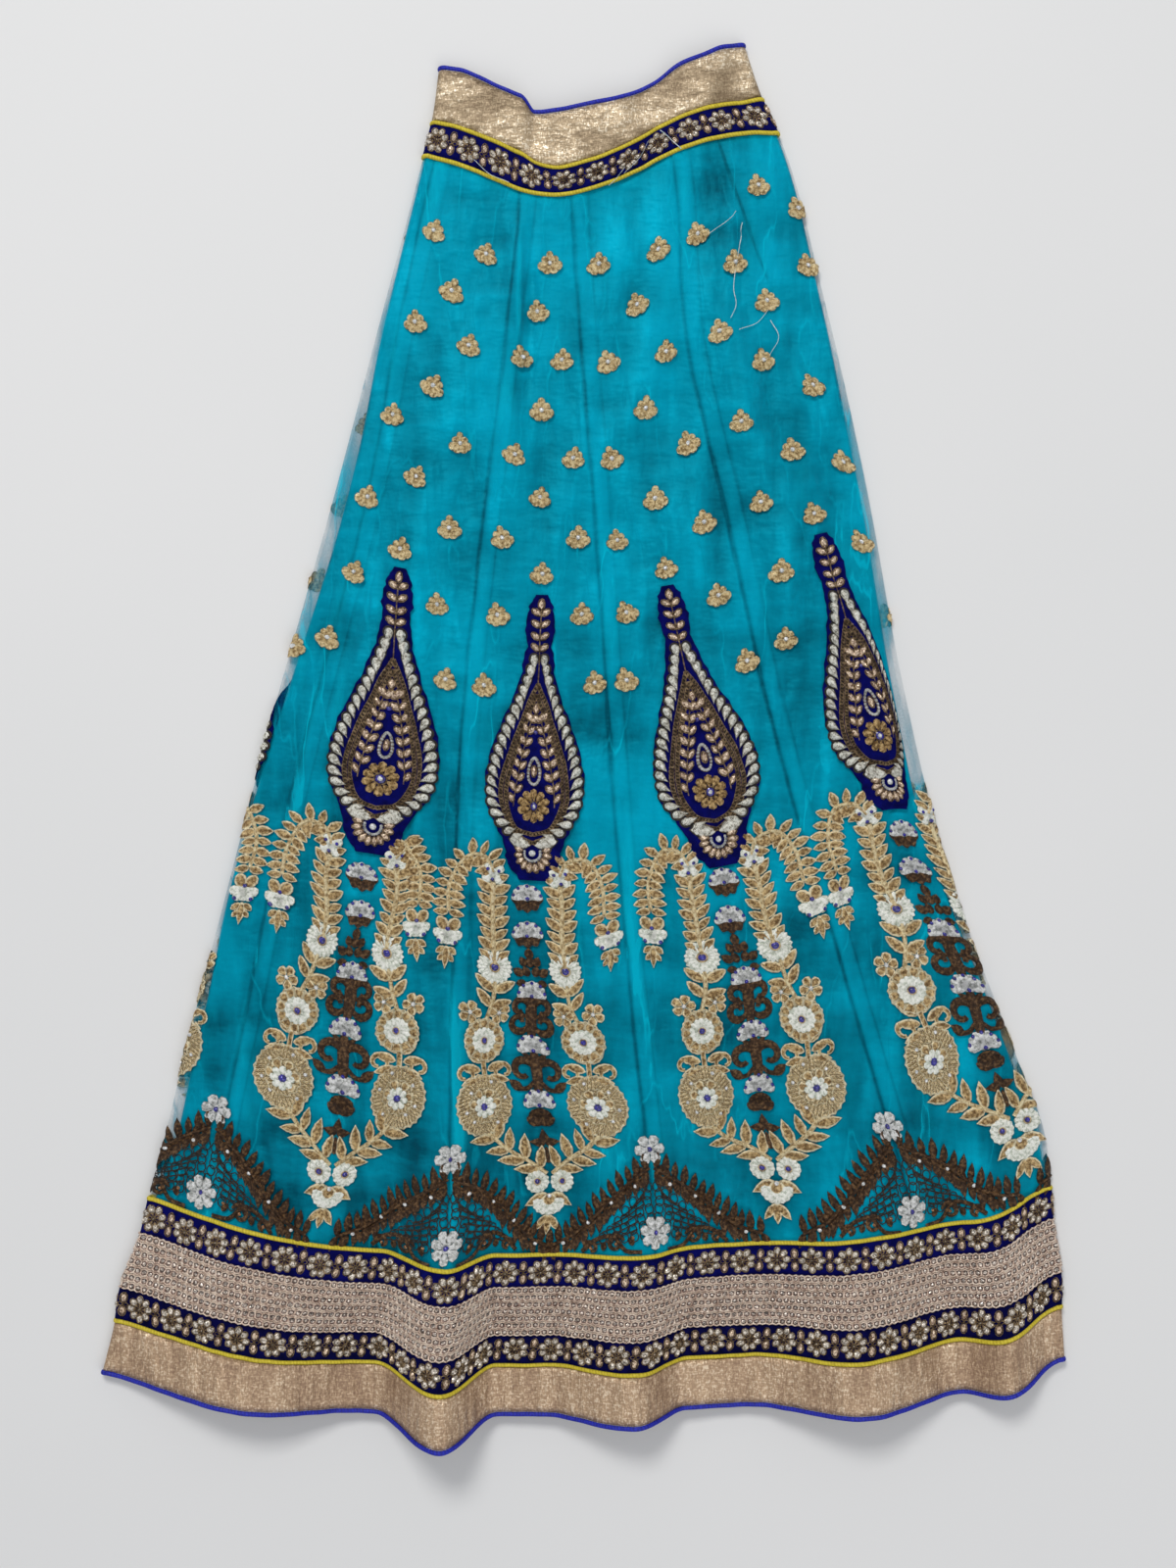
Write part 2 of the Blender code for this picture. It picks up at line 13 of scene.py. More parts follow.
import bpy
import numpy as np
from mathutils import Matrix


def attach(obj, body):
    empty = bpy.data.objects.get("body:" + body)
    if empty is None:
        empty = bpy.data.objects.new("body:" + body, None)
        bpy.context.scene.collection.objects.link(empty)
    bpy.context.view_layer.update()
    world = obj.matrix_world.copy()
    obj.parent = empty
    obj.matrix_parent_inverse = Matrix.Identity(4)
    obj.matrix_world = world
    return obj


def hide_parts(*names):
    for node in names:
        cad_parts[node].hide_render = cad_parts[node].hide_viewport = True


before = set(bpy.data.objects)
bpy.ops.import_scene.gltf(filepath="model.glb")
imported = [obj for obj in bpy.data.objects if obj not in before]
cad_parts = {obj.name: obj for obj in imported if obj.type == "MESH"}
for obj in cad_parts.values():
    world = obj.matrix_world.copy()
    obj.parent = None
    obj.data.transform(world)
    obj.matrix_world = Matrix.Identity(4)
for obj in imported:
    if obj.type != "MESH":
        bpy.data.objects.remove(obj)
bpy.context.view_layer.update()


def table(kind, *values):
    """A table: one named row for each tuple of values."""
    return [kind(*row) for row in values]


# ---- The cloth's sizes, in metres, the same as the solids' ----
NET_WALL = 0.0010
HALF_WALL = 0.5              # half of it, in millimetres as the embroidery is
LAY_HEIGHT = 0.0080          # of the front's middle surface over the floor, beside its folds
PUFF = 0.0030                # how much higher the front lies away from its sides
SKIRT_LENGTH = 1.031
CORD_SLOT = 0.0038           # what a piping takes up, down the skirt
WAIST_TISSUE = 0.0404        # and the bands, from the waist to the hem
WAIST_VELVET = 0.0226
HEM_VELVET = 0.0238
HEM_CHAIN = 0.0434
HEM_TISSUE = 0.0366
FOLD_RADIUS = (LAY_HEIGHT - NET_WALL / 2) / 2    # of the side folds, where the front turns into the back
FOLD_CENTRE = NET_WALL / 2 + FOLD_RADIUS
HALF_TURN = math.pi * FOLD_RADIUS
CENTRE_X = 0.00018           # where the laid skirt's middle lies in the table below
CENTRE_Y = 0.00924
BACK_SAG = 0.0240            # how far a level line of the back hangs down in its middle
WAIST_BACK_SAG = 0.0470      # and how far it does at the waist
WAIST_BACK_REACH = 0.250     # the distance down over which one becomes the other
BACK_GORE = 0.255            # share of the back's width that a back gore takes

# For each distance down, the outer edges of the side folds, and the seams as shares of the front's width,
# from the left; the fifth is a share of the back's width, from the right.
Section = namedtuple("Section", "down left_x left_y right_x right_y seam_1 seam_2 seam_3 seam_4 seam_5")
SECTIONS = table(Section,
    (0.000, -0.1098, 0.5203, 0.1225, 0.5381, 0.020, 0.266, 0.416, 0.704, 0.020),
    (0.045, -0.1158, 0.4778, 0.1370, 0.4958, 0.020, 0.266, 0.416, 0.704, 0.020),
    (0.074, -0.1228, 0.4500, 0.1498, 0.4678, 0.020, 0.266, 0.416, 0.704, 0.020),
    (0.200, -0.1549, 0.3283, 0.1838, 0.3455, 0.025, 0.272, 0.453, 0.690, 0.020),
    (0.350, -0.1931, 0.1835, 0.2168, 0.1988, 0.032, 0.276, 0.497, 0.744, 0.025),
    (0.500, -0.2340, 0.0386, 0.2438, 0.0520, 0.043, 0.292, 0.532, 0.789, 0.050),
    (0.650, -0.2719, -0.1064, 0.2798, -0.0948, 0.050, 0.312, 0.551, 0.827, 0.080),
    (0.800, -0.3090, -0.2513, 0.3338, -0.2415, 0.048, 0.322, 0.554, 0.838, 0.095),
    (0.850, -0.3203, -0.2993, 0.3518, -0.2903, 0.048, 0.324, 0.556, 0.842, 0.095),
    (0.894, -0.3317, -0.3420, 0.3570, -0.3338, 0.050, 0.325, 0.562, 0.848, 0.095),
    (0.923, -0.3383, -0.3713, 0.3585, -0.3600, 0.050, 0.326, 0.564, 0.850, 0.095),
    (0.965, -0.3536, -0.4118, 0.3645, -0.4001, 0.052, 0.328, 0.566, 0.852, 0.095),
    (0.992, -0.3576, -0.4380, 0.3650, -0.4275, 0.052, 0.328, 0.566, 0.852, 0.095),
    (1.031, -0.3671, -0.4763, 0.3672, -0.4661, 0.052, 0.328, 0.566, 0.852, 0.095),
)

# For places across the front, how far a level line lies below the straight line between the side folds, at
# each of these distances down.
DROP_DOWN = (0.0, 0.045, 0.074, 0.400, 0.620, 0.895, 1.031)
Drop = namedtuple("Drop", "across edge upper lower middle low net hem")
DROPS = table(Drop,
    (0.00, 0.000, 0.000, 0.000, 0.000, 0.000, 0.000, 0.000),
    (0.06, 0.003, 0.005, 0.006, 0.006, 0.006, 0.014, 0.010),
    (0.12, 0.011, 0.012, 0.013, 0.013, 0.014, 0.025, 0.018),
    (0.20, 0.0245, 0.022, 0.023, 0.021, 0.022, 0.036, 0.026),
    (0.28, 0.0345, 0.032, 0.032, 0.029, 0.032, 0.042, 0.031),
    (0.38, 0.0377, 0.041, 0.037, 0.035, 0.040, 0.045, 0.034),
    (0.48, 0.037, 0.038, 0.033, 0.036, 0.043, 0.045, 0.034),
    (0.60, 0.0335, 0.028, 0.023, 0.033, 0.038, 0.041, 0.031),
    (0.70, 0.026, 0.016, 0.011, 0.026, 0.033, 0.037, 0.029),
    (0.80, 0.012, 0.007, 0.003, 0.013, 0.020, 0.032, 0.026),
    (0.88, 0.0064, 0.003, 0.000, 0.002, 0.008, 0.027, 0.023),
    (0.94, 0.0015, 0.002, -0.001, -0.003, -0.002, 0.019, 0.018),
    (1.00, 0.000, 0.000, 0.000, 0.000, 0.000, 0.000, 0.000),
)

# The folds at the hem: where each meets the hem and where it begins, as shares of the front's width; its half
# widths left and right; its height, its reach up from the hem, and how far it pushes the cloth down.
HemFold = namedtuple("HemFold", "across top left right rise reach throw")
HEM_FOLDS = table(HemFold,
    (0.146, 0.150, 0.140, 0.125, 0.030, 0.34, 0.000),
    (0.354, 0.270, 0.076, 0.056, 0.046, 0.48, 0.014),
    (0.552, 0.540, 0.100, 0.056, 0.034, 0.40, 0.004),
    (0.787, 0.760, 0.115, 0.108, 0.036, 0.40, 0.004),
    (0.945, 0.930, 0.050, 0.050, 0.022, 0.26, 0.003),
)

# Long low folds above them, each along a straight line.
BodyFold = namedtuple("BodyFold", "from_down from_across to_down to_across half rise")
BODY_FOLDS = table(BodyFold,
    (0.050, 0.262, 0.360, 0.330, 0.045, 0.0045),
    (0.180, 0.120, 0.700, 0.190, 0.060, 0.0030),
    (0.330, 0.380, 0.820, 0.300, 0.060, 0.0040),
    (0.420, 0.620, 0.860, 0.680, 0.070, 0.0040),
    (0.080, 0.740, 0.560, 0.880, 0.060, 0.0035),
)

WAIST_FOLD = 0.282           # a step in the waist, as a share of the front's width from the left
WAIST_FOLD_WIDTH = 0.045
WAIST_FOLD_STEP = 0.0080     # the cloth on its left lies this much further up,
WAIST_FOLD_RISE = 0.0050     # and this much higher off the floor
WAIST_FOLD_REACH = 0.070

# Thin creases that the solids leave out, with their width and height in metres; a negative one is a dent.
CREASES = table(BodyFold,
    (0.076, 0.268, 0.225, 0.318, 0.0055, 0.0016),
    (0.080, 0.300, 0.240, 0.345, 0.0080, -0.0014),
    (0.074, 0.800, 0.180, 0.862, 0.0035, -0.0012),
    (0.150, 0.845, 0.320, 0.905, 0.0070, 0.0010),
    (0.200, 0.880, 0.380, 0.985, 0.0090, 0.0012),
    (0.120, 0.700, 0.300, 0.560, 0.0120, 0.0008),
    (0.300, 0.115, 0.620, 0.070, 0.0090, 0.0012),
    (0.430, 0.260, 0.660, 0.235, 0.0070, 0.0012),
    (0.600, 0.300, 0.880, 0.345, 0.0080, 0.0014),
    (0.690, 0.205, 0.800, 0.300, 0.0070, 0.0010),
    (0.700, 0.470, 0.860, 0.520, 0.0080, 0.0012),
    (0.760, 0.590, 0.840, 0.700, 0.0080, 0.0010),
    (0.560, 0.545, 0.800, 0.585, 0.0080, 0.0010),
    (0.780, 0.730, 0.890, 0.800, 0.0090, 0.0012),
    (0.800, 0.100, 0.890, 0.160, 0.0090, 0.0012),
    (0.640, 0.860, 0.800, 0.900, 0.0070, 0.0010),
)
RIPPLE_HEIGHT = 0.0017       # of the small unevenness everywhere on the front
RIPPLES = 26

# Where the middle of each front gore's embroidery lies, as a share of the front's width.
CentreLine = namedtuple("CentreLine", "down gore_1 gore_2 gore_3 gore_4")
CENTRE_LINES = table(CentreLine,
    (0.07, 0.131, 0.345, 0.560, 0.815),
    (0.14, 0.132, 0.354, 0.573, 0.821),
    (0.25, 0.133, 0.371, 0.591, 0.846),
    (0.37, 0.138, 0.392, 0.624, 0.900),
    (0.50, 0.167, 0.412, 0.673, 0.934),
    (0.62, 0.173, 0.413, 0.698, 0.957),
    (0.70, 0.184, 0.419, 0.703, 0.972),
    (0.78, 0.186, 0.432, 0.700, 0.976),
    (0.86, 0.186, 0.436, 0.696, 0.979),
)

# ---- Distances down the skirt ----
tissue_top = CORD_SLOT
tissue_end = tissue_top + WAIST_TISSUE
velvet_top = tissue_end + CORD_SLOT
velvet_end = velvet_top + WAIST_VELVET
net_top = velvet_end + CORD_SLOT
hem_tissue_end = SKIRT_LENGTH - CORD_SLOT
hem_tissue_top = hem_tissue_end - HEM_TISSUE
low_velvet_end = hem_tissue_top - CORD_SLOT
low_velvet_top = low_velvet_end - HEM_VELVET
chain_top = low_velvet_top - HEM_CHAIN
high_velvet_top = chain_top - HEM_VELVET
net_end = high_velvet_top - CORD_SLOT


# ---- The middle surface ----
def column(rows, name):
    return np.array([getattr(row, name) for row in rows])


def smooth(at, knots, values):
    """A cubic curve through a table's rows, with its slopes taken from the neighbouring rows."""
    at = np.clip(at, knots[0], knots[-1])
    slopes = np.gradient(values, knots)
    i = np.clip(np.searchsorted(knots, at, side="right") - 1, 0, len(knots) - 2)
    span = knots[i + 1] - knots[i]
    t = (at - knots[i]) / span
    return (
        (2 * t**3 - 3 * t**2 + 1) * values[i]
        + (t**3 - 2 * t**2 + t) * span * slopes[i]
        + (3 * t**2 - 2 * t**3) * values[i + 1]
        + (t**3 - t**2) * span * slopes[i + 1]
    )


def section(name, down):
    return smooth(down, column(SECTIONS, "down"), column(SECTIONS, name))


def bell(distance):
    """1 at a crest and 0 one half width away from it: a squared cosine."""
    return np.where(np.abs(distance) < 1, np.cos(np.clip(distance, -1, 1) * math.pi / 2) ** 2, 0)


def ramp(t):
    """0 to 1 as t goes from 0 to 1, with level ends: 3 t squared less 2 t cubed."""
    t = np.clip(t, 0, 1)
    return t * t * (3 - 2 * t)


def level_drop(across, down):
    """How far a level line of the front lies below the line between the side folds: the table's curves,
    blended from one column's distance down to the next."""
    knots = column(DROPS, "across")
    total = 0
    for i, name in enumerate(Drop._fields[1:]):
        here = DROP_DOWN[i]
        before = DROP_DOWN[i - 1] if i else here - 1
        after = DROP_DOWN[i + 1] if i < len(DROP_DOWN) - 1 else here + 1
        rising = ramp((down - before) / (here - before))
        falling = ramp((after - down) / (after - here))
        share = np.where(down < here, rising, falling)
        total = total + share * smooth(across, knots, column(DROPS, name))
    return total


def hem_fold_shapes(across, down):
    """Each hem fold with its share of full height: a bell that grows with the square of the way down."""
    for fold in HEM_FOLDS:
        grown = np.clip((down - SKIRT_LENGTH + fold.reach) / fold.reach, 0, 1.2)
        distance = across - (fold.top + (fold.across - fold.top) * grown)
        flank = np.where(distance < 0, fold.left, fold.right)
        yield fold, bell(distance / flank) * grown**2


def long_fold_height(folds, across, down, reach):
    """Bells along straight lines, fading at both ends. reach turns a share of the front into a fold's
    unit."""
    height = 0
    for fold in folds:
        t = (down - fold.from_down) / (fold.to_down - fold.from_down)
        line = fold.from_across + (fold.to_across - fold.from_across) * t
        ends = ramp(2.5 * t) * ramp(2.5 * (1 - t))
        height = height + fold.rise * bell((across - line) * reach / fold.half) * ends
    return height


WAVE = 6.2832                # a whole turn, in radians


def ripples(across, down, width, seed=11):
    """Small unevenness: a sum of sine waves 16 to 120 mm long, most of them across the skirt, whose phase
    drifts with a slow wave of its own so that no ridge runs straight."""
    random = np.random.default_rng(seed)
    height = 0
    for _ in range(RIPPLES):
        length = 0.016 * 7.5 ** random.uniform(0, 1)
        turn = random.normal(0, 0.5)
        phase, drift = random.uniform(0, 6.28, 2)
        side = (across - 0.5) * width
        along = side * math.cos(turn) + down * math.sin(turn)
        bent = 0.9 * np.sin(down * WAVE / (4 * length + 0.1) + drift) + 0.6 * np.sin(side * 19 + 2 * drift)
        height = height + np.sin(along * WAVE / length + phase + bent) * length / 0.09
    return RIPPLE_HEIGHT * height / math.sqrt(RIPPLES / 2)


def seam_dips(across, down, width):
    """Each seam is a narrow dent with a low ridge, its turned-in edges, on one side."""
    height = 0
    for number in (1, 2, 3, 4):
        apart = (across - section(f"seam_{number}", down)) * width
        height = height - 0.0006 * np.exp(-((apart / 0.0016) ** 2))
        height = height + 0.0007 * np.exp(-(((apart - 0.006) / 0.0050) ** 2))
    return height * ramp((down - net_top) / 0.01) * ramp((net_end - down) / 0.01)


def fold_ends(down):
    """The centres of the two side folds at a distance down, and the unit direction from left to right."""
    left = np.stack([section("left_x", down) - CENTRE_X, section("left_y", down) - CENTRE_Y], -1)
    right = np.stack([section("right_x", down) - CENTRE_X, section("right_y", down) - CENTRE_Y], -1)
    along = (right - left) / np.linalg.norm(right - left, axis=-1, keepdims=True)
    inset = FOLD_RADIUS + NET_WALL / 2
    return left + along * inset, right - along * inset, along


def flat_width(down):
    """Distance between the centres of the side folds."""
    return section("right_x", down) - section("left_x", down) - 2 * FOLD_RADIUS - NET_WALL


def front(across, down):
    """The front: level lines between the folds, dropped and raised by the tables' folds and creases."""
    width = flat_width(down)
    drop = level_drop(across, down)
    lying = ramp(across / 0.12) * ramp((1 - across) / 0.12)
    height = LAY_HEIGHT + PUFF * lying + long_fold_height(BODY_FOLDS, across, down, 1)
    edge = ramp(across / 0.05) * ramp((1 - across) / 0.05)
    fine = ripples(across, down, width) + long_fold_height(CREASES, across, down, width)
    height = height + (fine + seam_dips(across, down, width)) * edge
    for fold, share in hem_fold_shapes(across, down):
        height = height + fold.rise * share
        drop = drop + fold.throw * share
    left_side = 1 - ramp((across - WAIST_FOLD) / WAIST_FOLD_WIDTH + 0.5)
    near_fold = bell((across - WAIST_FOLD) / 0.22) * ramp(1 - down / WAIST_FOLD_REACH)
    drop = drop + WAIST_FOLD_STEP * (0.5 - left_side) * near_fold
    height = height + WAIST_FOLD_RISE * left_side * near_fold
    return lay(across, down, drop, height)


def back(across, down):
    """The back, flat on the floor, whose level lines are parabolas."""
    sag = BACK_SAG + (WAIST_BACK_SAG - BACK_SAG) * ramp(1 - down / WAIST_BACK_REACH)
    drop = 4 * sag * across * (1 - across)
    return lay(across, down, drop, np.full_like(drop, NET_WALL / 2))


def lay(across, down, drop, height):
    left, right, _ = fold_ends(down)
    place = left + (right - left) * across[..., None]
    return np.stack([place[..., 0], place[..., 1] - drop, height], -1)


def side_fold(turn, outwards, centre):
    """The rounded edge, a half circle: turn 0 is its top and turn 1 its foot."""
    angle = turn * math.pi
    place = centre + outwards * (FOLD_RADIUS * np.sin(angle))[..., None]
    return np.stack([place[..., 0], place[..., 1], FOLD_CENTRE + FOLD_RADIUS * np.cos(angle)], -1)


def unit(vectors):
    return vectors / np.maximum(np.linalg.norm(vectors, axis=-1, keepdims=True), 1e-12)


# ---- The surface as a fine grid, to lay things on quickly ----
FRONT_STEPS, FOLD_STEPS, BACK_STEPS, DOWN_STEPS = 640, 16, 80, 344
FRONT_KNOTS = np.linspace(0, 1, FRONT_STEPS + 1)
FOLD_KNOTS = np.linspace(0, 1, FOLD_STEPS + 1)[1:]
BACK_KNOTS = np.linspace(0, 1, BACK_STEPS + 1)[1:]
STATIONS = np.concatenate([FRONT_KNOTS, 1 + FOLD_KNOTS, 2 + BACK_KNOTS, 3 + FOLD_KNOTS])
DOWNS = np.linspace(0, SKIRT_LENGTH, DOWN_STEPS + 1)


def surface_grid():
    """Points and outward directions at every station and distance down: the four parts side by side."""
    down = DOWNS[None, :]
    left, right, along = fold_ends(down)
    parts = [front(FRONT_KNOTS[:, None], down)]
    parts.append(side_fold(FOLD_KNOTS[:, None] + 0 * down, along, right))
    parts.append(back(1 - BACK_KNOTS[:, None], down))
    parts.append(side_fold(1 - FOLD_KNOTS[:, None] + 0 * down, -along, left))
    points = np.concatenate(parts)
    wrapped = np.concatenate([points[-2:-1], points, points[1:2]])
    around = unit(wrapped[2:] - wrapped[:-2])
    down_way = unit(np.gradient(points, axis=1))
    return points, unit(np.cross(down_way, around))


GRID, OUTWARD = surface_grid()


def at(station, down):
    """Points and outward directions at any places: linear between the grid's four nearest points."""
    station = np.asarray(station) % 4
    down = np.clip(down, 0, SKIRT_LENGTH)
    i = np.clip(np.searchsorted(STATIONS, station, side="right") - 1, 0, len(STATIONS) - 2)
    u = ((station - STATIONS[i]) / (STATIONS[i + 1] - STATIONS[i]))[..., None]
    v = down / SKIRT_LENGTH * (len(DOWNS) - 1)
    j = np.clip(v.astype(int), 0, len(DOWNS) - 2)
    v = (v - j)[..., None]

    def mix(grid):
        upper = grid[i, j] * (1 - u) + grid[i + 1, j] * u
        lower = grid[i, j + 1] * (1 - u) + grid[i + 1, j + 1] * u
        return upper * (1 - v) + lower * v

    return mix(GRID), unit(mix(OUTWARD))


def raised(station, down, lift):
    """Points lifted off the cloth's middle surface. Where the cloth lies on the floor, what would press into
    the floor is squashed into the half millimetre there is."""
    points, out = at(station, down)
    share = np.clip((points[..., 2] - NET_WALL / 2) / (LAY_HEIGHT - NET_WALL / 2), 0, 1)
    squashed = np.where(lift > 0, 0.00012 + 0.00034 * (1 - np.exp(-np.maximum(lift, 0) / 0.003)), lift)
    return points + out * (lift * share + squashed * (1 - share))[..., None]


# ---- Places on the cloth ----
def girth_of(station, down):
    """Metres round the skirt, lying flat, from the top of the left fold to a station."""
    width = flat_width(down)
    part = np.floor(station % 4)
    rest = station % 4 - part
    before = [0, width, width + HALF_TURN]
    starts = np.select([part == 0, part == 1, part == 2], before, 2 * width + HALF_TURN)
    return starts + rest * np.where(part % 2 == 0, width, HALF_TURN)


def station_of(girth, down):
    """The station that lies so many metres round the skirt, the other way about."""
    width = flat_width(down)
    girth = girth % (2 * width + 2 * HALF_TURN)
    beyond = girth - width
    on_back = beyond - HALF_TURN
    last = on_back - width
    return np.select(
        [girth < width, beyond < HALF_TURN, on_back < width],
        [girth / width, 1 + beyond / HALF_TURN, 2 + on_back / width],
        3 + last / HALF_TURN,
    )


def gore_width(down):
    """A gore's true width: 79 mm at the waist and 206 mm at the hem."""
    return 0.079 + 0.127 * (down - net_top) / (SKIRT_LENGTH - net_top)


def seam_girth(number, down):
    if number <= 4:
        return section(f"seam_{number}", down) * flat_width(down)
    back_share = section("seam_5", down) + BACK_GORE * (number - 5)
    return (1 + back_share) * flat_width(down) + HALF_TURN


def centre_girth(gore, down):
    """Metres round the skirt to the middle of a gore's embroidery."""
    if gore <= 4:
        share = smooth(down, column(CENTRE_LINES, "down"), column(CENTRE_LINES, f"gore_{gore}"))
        return share * flat_width(down)
    if gore == 8:
        width = flat_width(down)
        return 2 * width + 2 * HALF_TURN + section("seam_1", down) * width - gore_width(down) / 2
    return (seam_girth(gore, down) + seam_girth(gore + 1, down)) / 2


# ---- Meshes ----
def make_piece(name, points, faces, material, uv=None, edge_shade=None):
    """One mesh object from arrays: points, triangles or quads, and one UV pair and one shade value a point.
    """
    mesh = bpy.data.meshes.new(name)
    faces = np.asarray(faces)
    mesh.vertices.add(len(points))
    mesh.vertices.foreach_set("co", np.asarray(points, dtype=np.float32).ravel())
    sides = faces.shape[1]
    mesh.loops.add(faces.size)
    mesh.loops.foreach_set("vertex_index", faces.astype(np.int32).ravel())
    mesh.polygons.add(len(faces))
    mesh.polygons.foreach_set("loop_start", np.arange(0, faces.size, sides, dtype=np.int32))
    mesh.update(calc_edges=True)
    mesh.validate()
    mesh.polygons.foreach_set("use_smooth", np.ones(len(mesh.polygons), dtype=bool))
    if uv is not None:
        layer = mesh.uv_layers.new(name="weave")
        index = np.empty(len(mesh.loops), dtype=np.int32)
        mesh.loops.foreach_get("vertex_index", index)
        layer.data.foreach_set("uv", np.asarray(uv, dtype=np.float32)[index].ravel())
    # the crest value: 1 on a crest and 0 at an edge, which the finishes darken as painted shade
    if edge_shade is not None:
        mesh.attributes.new("edge_shade", "FLOAT", "POINT").data.foreach_set("value", np.asarray(edge_shade, np.float32))
    mesh.materials.append(material)
    piece = bpy.data.objects.new(name, mesh)
    bpy.context.collection.objects.link(piece)
    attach(piece, "root")
    return piece


def grid_faces(rows, columns, closed=False):
    """Quads of a grid of rows by columns whose front faces out when columns run round and rows run down."""
    index = np.arange(rows * columns).reshape(rows, columns)
    if closed:
        index = np.concatenate([index, index[:, :1]], 1)
    return np.stack([index[:-1, :-1], index[1:, :-1], index[1:, 1:], index[:-1, 1:]], -1).reshape(-1, 4)


def wall_faces(rows, columns, closed):
    """Quads of an outer grid, an inner grid turned the other way, and the rims between them."""
    outer = grid_faces(rows, columns, closed)
    inside = rows * columns
    index = np.arange(inside).reshape(rows, columns)
    if closed:
        index = np.concatenate([index, index[:, :1]], 1)
    loops = [index[0, ::-1], index[-1]]
    if not closed:
        loops += [index[:, 0], index[::-1, -1]]
    rims = [np.stack([loop[:-1], loop[:-1] + inside, loop[1:] + inside, loop[1:]], 1) for loop in loops]
    return np.concatenate([outer, outer[:, ::-1] + inside] + rims)


SINK = 0.05                  # how far an edge of embroidery sinks in, in millimetres


class Shape:
    """Flat embroidery in millimetres, before it is laid on the cloth: points (across, down, height), quads,
    one UV pair a point, across a petal and along it, and one value a point that is 1 on a crest and 0 at an
    edge, which the finishes turn into painted shade at the edges."""

    def __init__(self, points=None, faces=None, uv=None, edge_shade=None):
        self.points = np.zeros((0, 3)) if points is None else points
        self.faces = np.zeros((0, 4), int) if faces is None else faces
        self.uv = np.zeros((0, 2)) if uv is None else uv
        self.edge_shade = np.zeros(len(self.points)) if edge_shade is None else edge_shade

    def placed(self, across, down, turn=0.0, size=1.0, lift=0.0):
        """Copies of this shape, one for each entry of the arrays: sized, turned by radians, then moved."""
        given = (across, down, turn, size, lift)
        across, down, turn, size, lift = np.broadcast_arrays(*[np.atleast_1d(v) * 1.0 for v in given])
        count = len(across)
        c, s = np.cos(turn)[:, None], np.sin(turn)[:, None]
        x = self.points[None, :, 0] * size[:, None]
        y = self.points[None, :, 1] * size[:, None]
        z = self.points[None, :, 2] * size[:, None] + lift[:, None]
        points = np.stack([across[:, None] + x * c - y * s, down[:, None] + x * s + y * c, z], -1)
        faces = self.faces[None] + (np.arange(count) * len(self.points))[:, None, None]
        uv = np.broadcast_to(self.uv[None], (count,) + self.uv.shape)
        edge_shade = np.tile(self.edge_shade, count)
        return Shape(points.reshape(-1, 3), faces.reshape(-1, 4), uv.reshape(-1, 2), edge_shade)

    def around(self, turns, reach):
        """Copies round the middle, each turned to point outwards."""
        return self.placed(-np.sin(turns) * reach, np.cos(turns) * reach, turns)

    def lifted(self, height):
        return self.placed(0, 0, lift=height)

    def mirrored(self):
        """Its mirror image across the middle line, with the faces turned back to face up."""
        return Shape(self.points * [-1, 1, 1], self.faces[:, ::-1], self.uv, self.edge_shade)


def join(*shapes):
    starts = np.cumsum([0] + [len(s.points) for s in shapes])
    return Shape(
        np.concatenate([s.points for s in shapes]),
        np.concatenate([s.faces + n for s, n in zip(shapes, starts)]),
        np.concatenate([s.uv for s in shapes]),
        np.concatenate([s.edge_shade for s in shapes]),
    )


def lengths_along(path):
    """The length of a path up to each of its points."""
    return np.concatenate([[0], np.cumsum(np.linalg.norm(np.diff(path, axis=0), axis=1))])


def read_off(places, knots, values):
    """Pairs of values at some places between a row of knots, along straight lines."""
    return np.stack([np.interp(places, knots, values[:, k]) for k in (0, 1)], 1)


def toward(across, down):
    """The turn that points a petal, which starts out pointing down, in a direction."""
    return np.arctan2(-np.asarray(across, float), np.asarray(down, float))


def petal(length, width, height, full=0.5, base=0.5, tip=0.8, rows=6, columns=4, bend=0.0):
    """A raised stitched petal that starts at the origin and points down. Its half width is a sine over its
    length, widest at full, to a power that goes from base to tip: under 1 is blunt and over 1 pointed. Its
    height is a parabola across times the root of a sine along. bend moves its foot sideways, less and less
    towards the tip with the square of what is left of its length."""
    t = (1 - np.cos(np.linspace(0.15, math.pi, rows)))[:, None] / 2
    u = np.linspace(-1, 1, columns)[None, :]
    bent = np.sin(math.pi * t ** (math.log(0.5) / math.log(full)))
    half = width / 2 * np.clip(bent, 0, 1) ** (base + (tip - base) * t)
    crown = np.clip(np.sin(math.pi * np.clip(t, 0, 1)), 0, 1) ** 0.5
    z = height * (1 - 0.85 * u**2) * crown - SINK
    points = np.stack([u * half + bend * (1 - t) ** 2, t * length + 0 * u, z], -1)
    uv = np.stack([u * half, t * length + 0 * u], -1)
    crest = (1 - u**2) * crown
    return Shape(points.reshape(-1, 3), grid_faces(rows, columns), uv.reshape(-1, 2), crest.ravel())


def dome(radius, height, sides=8, rings=3, scallops=0, depth=0.0, tall=1.0):
    """A bead, a disc or a rosette: rings of points round a centre, as high as a half ellipse. Its outline may
    be scalloped: its radius less depth times the size of a cosine. Its stitches run out from the centre."""
    turn = np.arange(sides) * 2 * math.pi / sides
    away = np.linspace(0, 1, rings + 1)[:, None]
    reach = radius * away * (1 - depth * np.abs(np.cos(scallops * turn / 2)) * away)
    z = height * np.sqrt(np.clip(1 - away**2, 0, 1)) + 0 * turn - SINK
    points = np.stack([reach * np.cos(turn), tall * reach * np.sin(turn), z], -1).reshape(-1, 3)
    uv = np.stack([reach, radius * turn + 0 * away], -1).reshape(-1, 2)
    crest = (1 - away**4 + 0 * turn).ravel()
    return Shape(points, grid_faces(rings + 1, sides, True)[:, ::-1], uv, crest)


